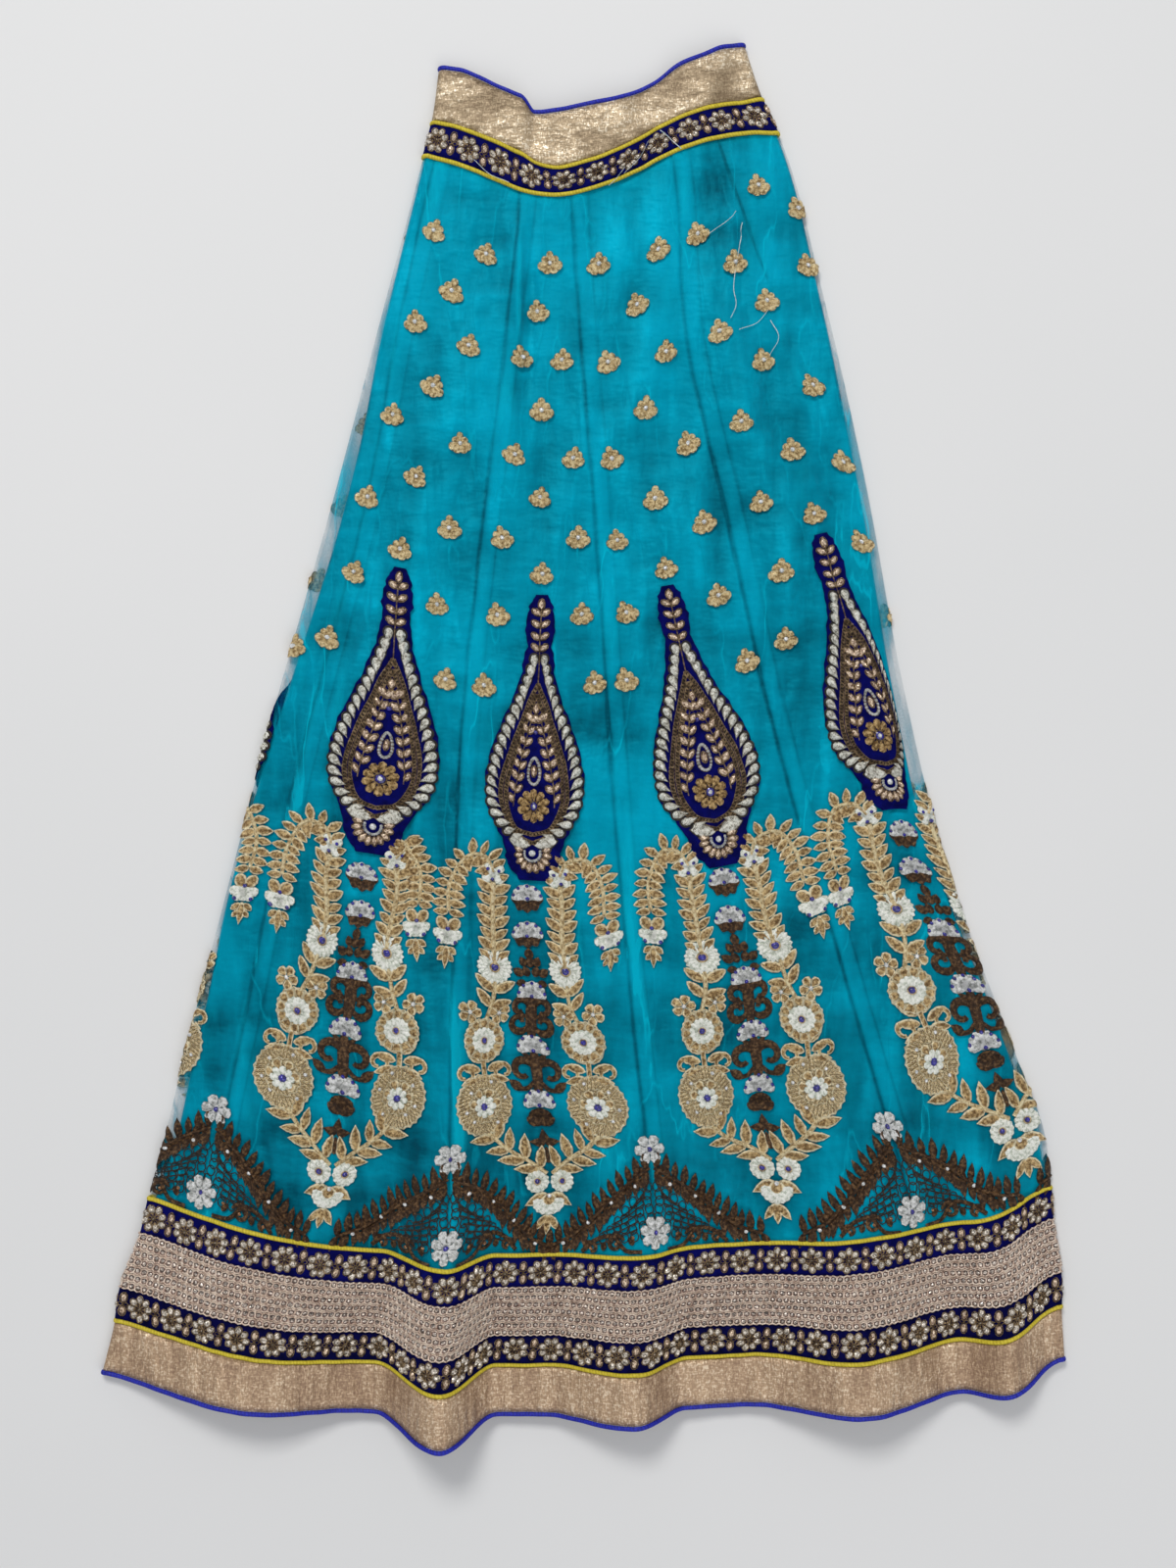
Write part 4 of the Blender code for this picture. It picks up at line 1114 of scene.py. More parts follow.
def patch_pad(gore):
    """The velvet teardrop: its outline follows the table of half widths with a ragged cut edge, a sum of
    sines along it, and its padded top has a faint wavy pile."""
    along = (1 - np.cos(np.linspace(0, math.pi, PAD_ROWS)))[:, None] / 2
    side = np.sin(np.linspace(-1, 1, PAD_COLUMNS) * math.pi / 2)[None, :]
    half = smooth(along, column(PATCH_WIDTHS, "along"), column(PATCH_WIDTHS, "half"))
    ragged = 0.55 * np.sin(along * 150 + gore) + 0.45 * np.sin(along * 237 + 2 * gore)
    ragged = ragged + 0.5 * np.sin(along * 61)
    x = side * half + np.sign(side) * ragged * side**4 * ramp(along / 0.02) * ramp((1 - along) / 0.02)
    y = along * PATCH_LENGTH + 0 * side
    station, down = patch_place(gore, x, y)
    pile = 0.12 * np.sin(x * 1.9 + 1) * np.sin(y * 1.7 + gore)
    top = raised(station, down, (PATCH_STAND + patch_thickness(x, y) + pile) / 1000)
    foot = raised(station, down, PATCH_FOOT + 0 * x)
    points = np.concatenate([top.reshape(-1, 3), foot.reshape(-1, 3)])
    uv = np.stack([x, y], -1).reshape(-1, 2)
    return points, wall_faces(PAD_ROWS, PAD_COLUMNS, False), np.concatenate([uv, uv])


def stone(length, width, height=1.9):
    """A cut leaf-shaped stone in a wire setting."""
    gem = petal(length, width, height, 0.5, 0.75, 0.8, 6, 5)
    rim = stroke(
        np.stack([
            width * 0.56 * np.sin(np.linspace(0, 2 * math.pi, 10)),
            length / 2 - length * 0.56 * np.cos(np.linspace(0, 2 * math.pi, 10)),
        ], 1),
        0.8, 0.9, 3,
    )
    return {"rose_stone": gem, "wire": rim}


def links(path, pitch, radius, width):
    """Small wire rings set along a path, one overlapping the next."""
    length = lengths_along(path)
    count = int(length[-1] / pitch)
    even = (np.arange(count) + 0.5) * length[-1] / count
    places = read_off(even, length, path)
    way = read_off(even, length, directions(path))
    one = ring(radius, width, 0.9, 6, tall=1.35)
    return one.placed(places[:, 0], places[:, 1], toward(way[:, 0], way[:, 1]) + 0.5, lift=0.35)


def patch_work():
    """All that is sewn on a patch: a stem with leaf stones in its neck, a ring of silver commas on dark beds,
    a drop of two bronze chains, and inside it stone sprigs, an almond and a gold flower. A fan of stones
    closes its foot."""
    drop = np.array(CHAIN_DROP, float)[:, ::-1]
    outer = curve(drop, 60)
    inner_line = [DropPlace(77, 0)] + [DropPlace(p.down, p.across - 4.0) for p in CHAIN_DROP[2:-2]]
    inner = curve(np.array(inner_line + [DropPlace(182, 0)], float)[:, ::-1], 50)
    chains = join(links(outer, 2.6, 1.5, 0.9), links(inner, 2.5, 1.4, 0.9))
    beds = join(stroke(outer, 3.2, 0.6, 3), stroke(inner, 3.0, 0.6, 3))

    line = np.array(COMMA_LINE, float)
    heads = curve(line[:, 1::-1], COMMAS)
    heading = np.radians(180 + np.interp(heads[:, 1], line[:, 0], line[:, 2]))
    foot = heads - 8.4 * np.stack([-np.sin(heading), np.cos(heading)], 1)
    comma = petal(12.2, 6.3, 2.8, 0.68, 0.9, 0.42, 8, 5, bend=-1.8)
    commas = comma.placed(foot[:, 0], foot[:, 1], heading, lift=0.4)
    bed = petal(13.8, 8.8, 1.0, 0.66, 0.9, 0.42, 8, 3, bend=-1.8)
    comma_beds = bed.placed(foot[:, 0], foot[:, 1], heading, lift=0.15)

    neck = merge(*[place(stone(7.4, 4.4), 0.6, y, np.radians(-128), lift=0.3) for y in (16, 25, 34.5, 43)])
    fine = curve(STONE_LINE, 40)
    at_stone = np.linspace(2, 37, 8).astype(int)
    pairs = fine[at_stone]
    arcs = merge(
        place(stone(7.4, 4.3), pairs[:, 0] + 0.4, pairs[:, 1], np.radians(-146), lift=0.3),
        place(stone(7.2, 4.2), pairs[:-1, 0] - 0.6, pairs[:-1, 1] + 1.5, np.radians(138), lift=0.3),
    )
    stem = stroke(fine[::3], 1.0, 0.8, 3)
    wings = petal(19, 10.0, 2.2, 0.5, 0.7, 0.9).placed(1.5, 190, np.radians(-102), lift=0.3)
    wing_beds = petal(20.6, 11.8, 1.0, 0.5, 0.7, 0.9, columns=3).placed(1.0, 190, np.radians(-102), lift=0.1)
    laces = join(beds, comma_beds, wing_beds)
    side = merge({"wire": join(stem, chains), "lace": laces, "silver": join(commas, wings)}, neck, arcs)

    around = np.radians(np.linspace(-104, 104, 10))
    fan_stones = place(stone(7.2, 4.4), 7.8 * np.sin(around), 196 + 7.8 * np.cos(around), -around, lift=0.3)
    half_turns = np.radians(np.linspace(-104, 104, 13))
    beading = dome(1.25, 1.4, 6, 2).placed(5.9 * np.sin(half_turns), 196 + 5.9 * np.cos(half_turns), lift=0.6)
    turn = np.linspace(0, 2 * math.pi, 23)[:-1]
    narrowing = 1 - 0.25 * np.cos(turn)
    almond = dome(1.25, 1.5, 6, 2).placed(4.4 * narrowing * np.sin(turn), 134 - 9.6 * np.cos(turn), lift=0.4)
    almond_bed = stroke(np.stack([4.4 * narrowing * np.sin(turn), 134 - 9.6 * np.cos(turn)], 1), 2.8, 0.6, 3)
    blossom = flower(10, 13.4, 6.9, 2.2, 3.4).placed(0, 160, lift=0.4)
    middle_line = {
        "wire": join(
            stroke([(0, 8), (0, 20), (0, 35), (0, 54), (0, 68)], 1.1, 0.9, 3), almond_bed,
            ring(4.2, 1.0, 0.9, 14).placed(0, 160, lift=1.4),
        ),
        "antique": blossom,
        "beaded": join(almond, beading),
        "blue": join(
            dome(1.9, 1.6, 8, 3).placed(0, 105.5, lift=0.5),
            dome(3.4, 0.9, 12, 2).placed(0, 160, lift=1.1),
        ),
        "pearl": join(
            dome(2.0, 1.9, 8, 3).placed(0, 160, lift=1.4),
            dome(2.5, 2.2, 9, 3).placed(0, 196, lift=0.6),
        ),
    }
    singles = merge(
        place(stone(8.0, 4.6), 0, 3.5, lift=0.3), place(stone(7.0, 4.2), 0, 84, lift=0.3),
        place(stone(8.0, 3.8), 0, 130, lift=0.6),
        place(stone(6.8, 4.0), [3.2, -3.2], [97, 97], np.radians([200, 160]), lift=0.3),
    )
    return merge(both_sides(side), middle_line, fan_stones, singles)


# ---- Trims, which go round the skirt by real length ----
LAST_STATION = 3.99999       # just short of the left fold's top, where the stations start again


class Run:
    """Real lengths round the skirt at one distance down, so that what is set along a trim keeps its pitch."""

    def __init__(self, down):
        self.stations = np.unique(np.append(STATIONS, LAST_STATION))
        points, _ = at(self.stations, np.full(len(self.stations), down))
        self.lengths = lengths_along(points) * 1000
        self.total = self.lengths[-1]

    def station(self, length):
        return np.interp(length % self.total, self.lengths, self.stations)


def on_band(shape, run, middle_down, base):
    """Lays a shape on a trim: its across is real length round it, and its down counts from the middle."""
    down = middle_down + shape.points[:, 1] / 1000
    return raised(run.station(shape.points[:, 0]), down, (base + shape.points[:, 2]) / 1000)


def trim_flower():
    """Eight round-ended stones in wire settings, close together round a small ring."""
    turns = np.arange(8) * math.pi / 4 + 0.2
    reach = np.where(np.arange(8) % 2, 6.9, 7.3)
    gem = dome(2.65, 2.5, 9, 2, tall=1.25).around(turns, reach)
    stalks = petal(5.4, 3.4, 1.8, 0.7, 0.6, 0.6, 4, 3).around(turns, 1.2)
    rims = ring(2.95, 0.7, 0.9, 9, tall=1.22).around(turns, reach)
    heart = dome(1.3, 2.4, 7, 2)
    return {"stone": gem, "wire": join(rims, stalks, ring(1.7, 0.9, 2.2, 9)), "stone_heart": heart}


def trim_pair():
    """Two oval stones, one over the other, with wire leaves that link the flowers."""
    gems = dome(2.3, 2.2, 8, 3, tall=1.6).placed([0, 0], [-5.2, 5.2])
    rims = ring(2.9, 0.8, 1.3, 10, tall=1.5).placed([0, 0], [-5.2, 5.2])
    leaf = curve([(0, 0.2), (2.0, -1.6), (4.0, -0.4), (2.2, 1.2), (0, 0.2)], 9)
    wires = join(stroke(leaf, 0.8, 1.2, 3), stroke(leaf, 0.8, 1.2, 3).mirrored())
    return {"rose_stone": gems, "wire": join(rims, wires)}


def trim_row(total, pitch, shift, size=1.0):
    """Flowers and pairs in turn round a whole band, a whole number of times."""
    count = round(total / pitch)
    step = total / count
    random = np.random.default_rng(int(shift * 10))
    at_flower = shift + step * np.arange(count)
    turn = random.uniform(-0.35, 0.35, count)
    sway = random.uniform(-0.5, 0.5, count)
    flowers = place(trim_flower(), at_flower, sway, turn, size)
    return merge(flowers, place(trim_pair(), at_flower + step / 2, sway * 0.5, turn * 0.3, size))


def braid(total, rows, width):
    """Rows of small silver sequins, each in a cell of rosy cord: a bar stands between neighbours, and above
    and below each row a cord swings out round every sequin in a cosine wave, so that the braid's edges are
    scalloped."""
    pitch = width / rows
    count = round(total / 5.0)
    step = total / count
    row, col = np.meshgrid(np.arange(rows), np.arange(count), indexing="ij")
    x = (col + 0.5 * (row % 2)).ravel() * step
    y = (row.ravel() + 0.5) * pitch - width / 2
    random = np.random.default_rng(5)
    turn, size = random.uniform(-0.5, 0.5, x.size), random.uniform(0.92, 1.08, x.size)
    sequins = dome(1.65, 1.1, 6, 1).placed(x, y, turn, size, 0.1)
    bar = stroke([(0, -1.9), (0, 1.9)], 1.3, 1.3, 3)
    bars = bar.placed(x + step / 2, y, turn * 0.5, size)
    way = np.arange(count * 4 + 1) * step / 4
    cords = []
    for n in range(rows):
        middle = (n + 0.5) * pitch - width / 2
        swing = 2.35 + 0.55 * np.cos(2 * math.pi * (way / step - 0.5 * (n % 2)))
        cords += [stroke(np.stack([way, middle + side * swing], 1), 1.4, 1.8, 3) for side in (-1, 1)]
    return {"braid": join(bars, *cords), "silver_bead": sequins}


# ---- Finishes ----
def colour(code):
    """Linear colour from six hex digits."""
    parts = [int(code[i : i + 2], 16) / 255 for i in (0, 2, 4)]
    return tuple(c / 12.92 if c <= 0.04045 else ((c + 0.055) / 1.055) ** 2.4 for c in parts) + (1.0,)


class Finish:
    """A material being put together out of nodes: a Principled shader and what feeds it."""

    def __init__(self, name, **sockets):
        self.material = bpy.data.materials.new(name)
        self.material.use_nodes = True
        self.tree = self.material.node_tree
        self.tree.nodes.clear()
        self.shader = self.add("ShaderNodeBsdfPrincipled")
        for socket, value in sockets.items():
            self.shader.inputs[socket.replace("_", " ")].default_value = value
        out = self.add("ShaderNodeOutputMaterial")
        self.tree.links.new(self.shader.outputs[0], out.inputs["Surface"])
        coords = self.add("ShaderNodeTexCoord")
        self.place = coords.outputs["Object"]
        self.weave = self.add("ShaderNodeUVMap", uv_map="weave").outputs[0]

    def add(self, kind, *inputs, **settings):
        """A node with its inputs in order: a value, a socket to link, or None to leave one as it is."""
        node = self.tree.nodes.new(kind)
        for setting, value in settings.items():
            setattr(node, setting, value)
        for socket, value in zip(node.inputs, inputs):
            self.put(socket, value)
        return node

    def put(self, socket, value):
        if isinstance(value, bpy.types.NodeSocket):
            self.tree.links.new(value, socket)
        elif value is not None:
            socket.default_value = value

    def math(self, operation, *values):
        return self.add("ShaderNodeMath", *values, operation=operation).outputs[0]

    def plus(self, one, other):
        return self.math("ADD", one, other)

    def times(self, one, other):
        return self.math("MULTIPLY", one, other)

    def blend(self, *parts):
        """The sum of values, each times its share."""
        total = None
        for value, share in parts:
            part = self.times(value, share)
            total = part if total is None else self.plus(total, part)
        return total

    def noise(self, scale, detail=2.0, stretch=(1, 1, 1), turn=(0, 0, 0), rough=0.5):
        mapped = self.add("ShaderNodeMapping", self.place, None, turn, stretch).outputs[0]
        node = self.add("ShaderNodeTexNoise")
        for socket, value in (("Vector", mapped), ("Scale", scale), ("Detail", detail), ("Roughness", rough)):
            self.put(node.inputs[socket], value)
        return node.outputs["Fac"]

    def range(self, value, low, high, to_low=0.0, to_high=1.0):
        return self.add("ShaderNodeMapRange", value, low, high, to_low, to_high).outputs[0]

    def mix(self, share, first, second):
        """A blend of two colours, each given as hex digits or as a socket."""
        node = self.add("ShaderNodeMix", data_type="RGBA")
        first, second = (colour(c) if isinstance(c, str) else c for c in (first, second))
        for socket, value in (("Factor_Float", share), ("A_Color", first), ("B_Color", second)):
            self.put(next(s for s in node.inputs if s.identifier == socket), value)
        return next(s for s in node.outputs if s.identifier == "Result_Color")

    def attribute(self, name):
        return self.add("ShaderNodeAttribute", attribute_name=name).outputs["Fac"]

    def stripes(self, pitch, slant=0.0, axis=1):
        """Ridges 1 high and 0 low across the piece's own map, slanted away from its middle line."""
        split = self.add("ShaderNodeSeparateXYZ", self.weave)
        along = split.outputs[axis]
        across = self.math("ABSOLUTE", split.outputs[1 - axis])
        phase = self.plus(along, self.times(across, slant))
        return self.math("MULTIPLY_ADD", self.math("SINE", self.times(phase, 2 * math.pi / pitch)), 0.5, 0.5)

    def bump(self, height, distance, strength=1.0):
        node = self.add("ShaderNodeBump")
        self.put(node.inputs["Height"], height)
        self.put(node.inputs["Distance"], distance)
        self.put(node.inputs["Strength"], strength)
        self.put(self.shader.inputs["Normal"], node.outputs[0])

    def paint(self, socket, value):
        self.put(self.shader.inputs[socket], value)

    def cover(self, share, first, second):
        """The surface's colour: a blend of two."""
        self.paint("Base Color", self.mix(share, first, second))

    def roughen(self, value, low, high, at_low, at_high):
        """The surface's roughness, which follows a value between two limits."""
        self.paint("Roughness", self.range(value, low, high, at_low, at_high))


def stitched(name, dark, middle, light, pitch=0.75, rough=0.5, metallic=0.0, slant=0.6, bright=0.6, rim=None):
    """Satin-stitched thread: ridges slanted off each petal's middle line, over random patches and grain, with
    painted glints on the stitches, painted shade in the gaps between them and painted shade at its edges.
    bright is how much of it the lightest tone, the painted glints, takes, and rim is the colour of the raised
    line of stitches just inside an edge, if any: partly its own colour and partly a painted highlight."""
    finish = Finish(name, Metallic=metallic)
    # the ridges give painted glints on the stitches and painted shade in the gaps between them
    ridges = finish.stripes(pitch, slant)
    patchy = finish.range(finish.noise(420.0, 3.0), 0.34, 0.66)
    grain = finish.range(finish.noise(1400.0, 1.0), 0.32, 0.68)
    tone = finish.blend((patchy, 0.46), (ridges, 0.32), (grain, 0.22))
    low = finish.mix(finish.range(tone, 0.12, 0.50), dark, middle)
    body = finish.mix(finish.range(tone, 1.02 - bright, 1.22 - bright * 0.7), low, light)
    # the rim line is partly a painted highlight; edge is painted shade where the crest value falls to an edge
    if rim:
        line = finish.range(finish.attribute("edge_shade"), 0.32, 0.58, 1.0, 0.0)
        line = finish.times(line, finish.range(tone, 0.15, 0.55, 0.35, 0.95))
        body = finish.mix(line, body, rim)
        edge = finish.range(finish.plus(finish.attribute("edge_shade"), finish.times(patchy, 0.10)), 0.03, 0.17)
    else:
        crest = finish.math("POWER", finish.attribute("edge_shade"), 0.6)
        edge = finish.range(finish.plus(crest, finish.times(patchy, 0.35)), 0.10, 0.62)
    finish.cover(edge, dark, body)
    finish.roughen(tone, 0.3, 1.0, rough + 0.12, rough - 0.08)
    finish.bump(finish.plus(ridges, finish.times(grain, 0.8)), 0.00030)
    return finish.material


def jewel(name, dark, light, metallic, rough, coat=0.6):
    """Cut stone or polished bead: facets that differ in tone as painted sparkle, painted shade round its
    edge, and a clear coat.
    """
    finish = Finish(name, Metallic=metallic, Coat_Weight=coat, Coat_Roughness=0.08)
    facets = finish.range(finish.noise(520.0, 2.0, rough=0.7), 0.36, 0.64)
    edge = finish.range(finish.plus(finish.attribute("edge_shade"), finish.times(facets, 0.2)), 0.0, 0.36)
    # painted shade towards the edge, and painted sparkle from the facets' tones
    finish.cover(finish.times(edge, facets), dark, light)
    finish.roughen(facets, 0.0, 1.0, rough + 0.12, rough)
    finish.bump(facets, 0.0007, 0.8)
    return finish.material


def twisted(name, dark, light, pitch, rough=0.5):
    """Covered cord: faint slanted ridges round it, a little darker in the grooves as painted shade."""
    finish = Finish(name, Specular_IOR_Level=0.3)
    ridges = finish.stripes(pitch, 0.0)
    tone = finish.blend((ridges, 0.22), (finish.noise(500.0, 3.0), 0.9))
    # painted shade in the grooves between the ridges
    finish.cover(finish.range(tone, 0.20, 0.80), dark, light)
    finish.roughen(tone, 0.2, 1.2, rough + 0.15, rough)
    finish.bump(ridges, 0.00005)
    return finish.material


def satin():
    """The lining: soft turquoise satin, crushed a little. Wrinkles that run mostly down it are bumped, and
    painted into its colour as painted shade and painted highlights; its seam attribute adds painted shade
    along the seams, lighter turned-in strips, and painted light that is strongest at the waist."""
    finish = Finish("turquoise_satin", Specular_IOR_Level=0.9, Specular_Tint=colour("20c4dc"))
    streaks = finish.noise(11.0, 3.0, (2.6, 0.7, 1.0), (0, 0, 0.14))
    broad = finish.noise(7.0, 2.0)
    pulls = finish.noise(15.0, 4.0, (0.7, 1.7, 1), (0, 0, 0.5), rough=0.6)
    crush = finish.noise(48.0, 3.0, (1.7, 0.8, 1), rough=0.55)
    shares = ((streaks, 0.42), (broad, 0.18), (pulls, 0.40))
    tone = finish.blend((crush, 0.14), *[(finish.range(part, 0.3, 0.7), share) for part, share in shares])
    # the seam attribute: painted shade at the seams and painted light strongest at the waist
    sewn = finish.attribute("seam")
    tone = finish.plus(tone, sewn)
    # painted shade and painted highlights of the wrinkles
    finish.cover(finish.range(tone, 0.26, 0.90), "003a4c", "00b2d2")
    finish.roughen(crush, 0.3, 0.7, 0.46, 0.34)
    threads = finish.plus(finish.stripes(0.55), finish.stripes(0.55, 0.0, 0))
    finish.bump(finish.blend((streaks, 5.0), (pulls, 4.0), (crush, 1.1), (threads, 0.02)), 0.0016)
    return finish.material


def tulle():
    """The net: a see-through mesh that thickens where its haze attribute says and in thin wisps, where it
    lies double, with thin pale lines of painted highlight on its small wrinkles, and a faint thread
    pattern."""
    finish = Finish(
        "turquoise_net", Sheen_Weight=0.3, Sheen_Roughness=0.4, Roughness=0.55, Specular_IOR_Level=0.3,
        Specular_Tint=colour("10a8c0"), Sheen_Tint=colour("20c0d8"),
    )
    haze = finish.attribute("haze")
    wisps = finish.noise(16.0, 5.0, (2.0, 0.55, 1), (0, 0, 0.2), rough=0.6)
    fine = finish.math("SUBTRACT", finish.noise(9.0, 4.0, (2.2, 0.5, 1), (0, 0, -0.15)), 0.5)
    fine = finish.math("ABSOLUTE", fine)
    # painted highlight along thin wrinkles
    wrinkle_highlight = finish.range(fine, 0.0, 0.012, 0.45, 0.0)
    mesh_grain = finish.noise(1300.0, 1.0)
    # paler with the haze and the wisps; the haze on creases and the wrinkle lines are partly painted
    # highlight
    pale = finish.plus(haze, finish.range(wisps, 0.40, 0.68, -0.18, 0.54))
    pale = finish.plus(pale, wrinkle_highlight)
    finish.cover(finish.range(pale, 0.0, 1.0), "006e8a", "06bad6")
    see = finish.range(pale, 0.0, 1.0, 0.08, 0.62)
    finish.paint("Alpha", finish.plus(see, finish.range(mesh_grain, 0.3, 0.7, -0.05, 0.05)))
    finish.bump(mesh_grain, 0.0001, 0.5)
    return finish.material


def tissue(name, crushed):
    """Gold tissue: a pale cloth of fine metal threads. Soft folds are painted in as painted light and shade,
    and on the lit ones its fine grain has painted glints. The waist's is crushed aslant, and the hem's is
    creased upright."""
    finish = Finish(name, Metallic=0.30, Specular_IOR_Level=0.5)
    grain = finish.noise(820.0, 3.0, (1.0, 0.45, 0.6), rough=0.6)
    level = finish.noise(820.0, 2.0, (0.3, 1.0, 0.6))
    speckle = finish.range(finish.blend((grain, 0.6), (level, 0.4)), 0.42, 0.60)
    stretch, turn = ((0.55, 1.3, 1), (0, 0, -0.6)) if crushed else ((1.5, 0.30, 1), (0, 0, 0.1))
    # painted light and shade of soft folds
    folds = finish.range(finish.noise(26.0, 4.0, stretch, turn, rough=0.55), 0.36, 0.64)
    patches = finish.range(finish.noise(90.0, 4.0, stretch, turn, rough=0.6), 0.36, 0.64)
    shares = (0.42, 0.28, 0.30) if crushed else (0.32, 0.20, 0.48)
    tone = finish.blend(*zip((folds, patches, speckle), shares))
    dark, light = ("7c684e", "cbb594") if crushed else ("947860", "d0b290")
    body = finish.mix(finish.range(tone, 0.15, 0.85), dark, light)
    # painted glints of the grain on the lit folds
    glint = finish.times(finish.range(tone, 0.52, 0.80), finish.range(speckle, 0.45, 0.95))
    glint = finish.times(glint, 0.75 if crushed else 0.4)
    finish.cover(glint, body, "fff3dc")
    finish.roughen(tone, 0.2, 0.9, 0.52, 0.34)
    finish.bump(finish.blend((folds, 2.2), (patches, 0.6), (speckle, 0.12)), 0.0012)
    return finish.material


def velvet(name, dark, light):
    """Navy velvet: a deep pile with brushed patches and a faint rim of sheen."""
    sheen = {"Sheen_Weight": 0.25, "Sheen_Roughness": 0.3, "Sheen_Tint": colour("1a28b0")}
    finish = Finish(name, Specular_IOR_Level=0.05, **sheen)
    pile = finish.noise(1600.0, 2.0)
    brushed = finish.noise(140.0, 3.0)
    tone = finish.blend((pile, 0.5), (brushed, 0.7))
    finish.cover(finish.range(tone, 0.40, 0.85), dark, light)
    finish.roughen(pile, 0.3, 0.7, 0.95, 0.80)
    finish.bump(finish.plus(pile, brushed), 0.0006, 0.8)
    return finish.material


def netting():
    """The ground of a disc: gold thread netted in small lozenges over brown holes, and painted shade round
    its rim.
    """
    finish = Finish("gold_netting", Metallic=0.25)
    one = finish.add("ShaderNodeMapping", finish.place, None, (0, 0, 0.7)).outputs[0]
    split = finish.add("ShaderNodeSeparateXYZ", one)
    scale = 2 * math.pi / 0.0024
    waves = [finish.math("SINE", finish.times(split.outputs[k], scale)) for k in (0, 1)]
    holes = finish.math("ABSOLUTE", finish.times(waves[0], waves[1]))
    grain = finish.range(finish.noise(700.0, 3.0), 0.35, 0.65)
    thread = finish.plus(finish.math("SUBTRACT", 1.0, holes), finish.times(grain, 0.4))
    body = finish.mix(finish.range(thread, 0.45, 1.25), "5a4220", "e4c88e")
    # painted shade round the rim, where the crest value is low
    finish.cover(finish.range(finish.attribute("edge_shade"), 0.0, 0.25), "6b4a26", body)
    finish.roughen(grain, 0.0, 1.0, 0.55, 0.38)
    finish.bump(thread, 0.0007)
    return finish.material


def braid_ground():
    """What shows between the braid's cells: rosy cord in close rows, dark as painted shade, darkest in the
    gaps between the rows.
    """
    finish = Finish("rosy_braid_ground", Metallic=0.2)
    rows = finish.stripes(4.82, 0.0, 1)
    twist = finish.noise(900.0, 2.0)
    tone = finish.plus(rows, finish.times(twist, 0.6))
    # painted shade: darker in the grooves between the rows
    finish.cover(finish.range(tone, 0.2, 1.3), "2a1a18", "765850")
    finish.roughen(twist, 0.3, 0.7, 0.6, 0.45)
    finish.bump(tone, 0.0006)
    return finish.material


def table_top():
    """Pale plain floor with the faintest unevenness."""
    finish = Finish("pale_floor", Roughness=0.85, Specular_IOR_Level=0.2)
    tone = finish.noise(2.0, 2.0)
    finish.cover(tone, "dcdddd", "e2e2e2")
    finish.bump(finish.noise(900.0, 2.0), 0.00005, 0.3)
    return finish.material


SATIN, TULLE = satin(), tulle()
VELVET = velvet("navy_velvet", "020330", "0a0e66")
DARK_VELVET = velvet("dark_navy_velvet", "02031f", "080a4e")
WAIST_CLOTH, HEM_CLOTH = tissue("crushed_gold_tissue", True), tissue("gold_tissue", False)
YELLOW_CORD = twisted("yellow_cord", "a08c18", "d8c63c", 2.4)
BLUE_CORD = twisted("blue_cord", "0c1268", "2630b8", 2.4)
THREADS = {
    "gold": stitched(
        "gold_zari_thread", "281a0c", "997340", "f4d8a0", 0.8, 0.32, 0.35, bright=0.60, rim="fff2cc",
    ),
    "pale_gold": stitched("pale_gold_thread", "6e4f26", "d8b578", "fff2c8", 0.8, 0.32, 0.35, bright=0.72),
    "light_gold": stitched("light_gold_thread", "4a3416", "c8a468", "fbe8b8", 0.8, 0.32, 0.35, bright=0.66),
    "antique": stitched("antique_gold_thread", "2a1c0c", "8e6a38", "efcf94", 0.8, 0.32, 0.40, bright=0.60),
    "cream": stitched("cream_thread", "9a865a", "dccfa8", "f8f0d6", 0.7, 0.55),
    "white": stitched("white_thread", "94a08c", "dce2d0", "fffff8", 0.9, 0.45, bright=0.78),
    "silver": stitched("silver_coil_thread", "2c261c", "b6b09c", "fffff6", 1.1, 0.26, 0.30, bright=0.70),
    "beaded": stitched("silver_beaded_thread", "70726f", "c4c8c2", "ffffff", 0.7, 0.30, 0.10, bright=0.70),
    "brown": stitched("brown_thread", "120903", "402813", "a07a50", 0.8, 0.36, 0.30, bright=0.44),
    "lace": stitched("dark_lace_thread", "0c0b0a", "201a14", "42352a", 0.8, 0.5, 0.1),
    "netting": netting(),
    "copper": jewel("copper_bead", "5e3a20", "c08a5c", 0.8, 0.25),
    "pearl": jewel("pearl_bead", "a8acac", "ffffff", 0.0, 0.15, 1.0),
    "blue": jewel("blue_bead", "0d0b4a", "2b25a8", 0.1, 0.15, 1.0),
    "stone": jewel("smoky_stone", "4e4234", "fff4e4", 0.40, 0.12, 1.0),
    "stone_heart": jewel("small_smoky_stone", "4a3e32", "d8c8b2", 0.5, 0.2, 0.8),
    "rose_stone": jewel("rose_gold_stone", "6e4e36", "ffe6c8", 0.35, 0.12, 1.0),
    "wire": stitched("bronze_wire", "2a1e14", "7a6248", "d8bd92", 0.6, 0.35, 0.55, 0.0, bright=0.55),
    "braid": stitched("rosy_braid_cord", "4a2a1c", "e2b094", "fff2e2", 1.1, 0.30, 0.22, bright=0.80),
    "silver_bead": jewel("silver_sequin", "3e3632", "fff4e8", 0.5, 0.12, 0.8),
    "loose": stitched("loose_white_thread", "a8c8cc", "dcecec", "ffffff", 0.8, 0.6),
}


# ---- Cloth ----
# Millimetres from a seam to the columns beside it.
SEAM_COLUMNS = [0, 0.6, 1.2, 1.9, 2.8, 4.0, 5.6, 7.6, 9.6, 11.0, 11.9, 12.5, 13.1, 14.0, 16.0]


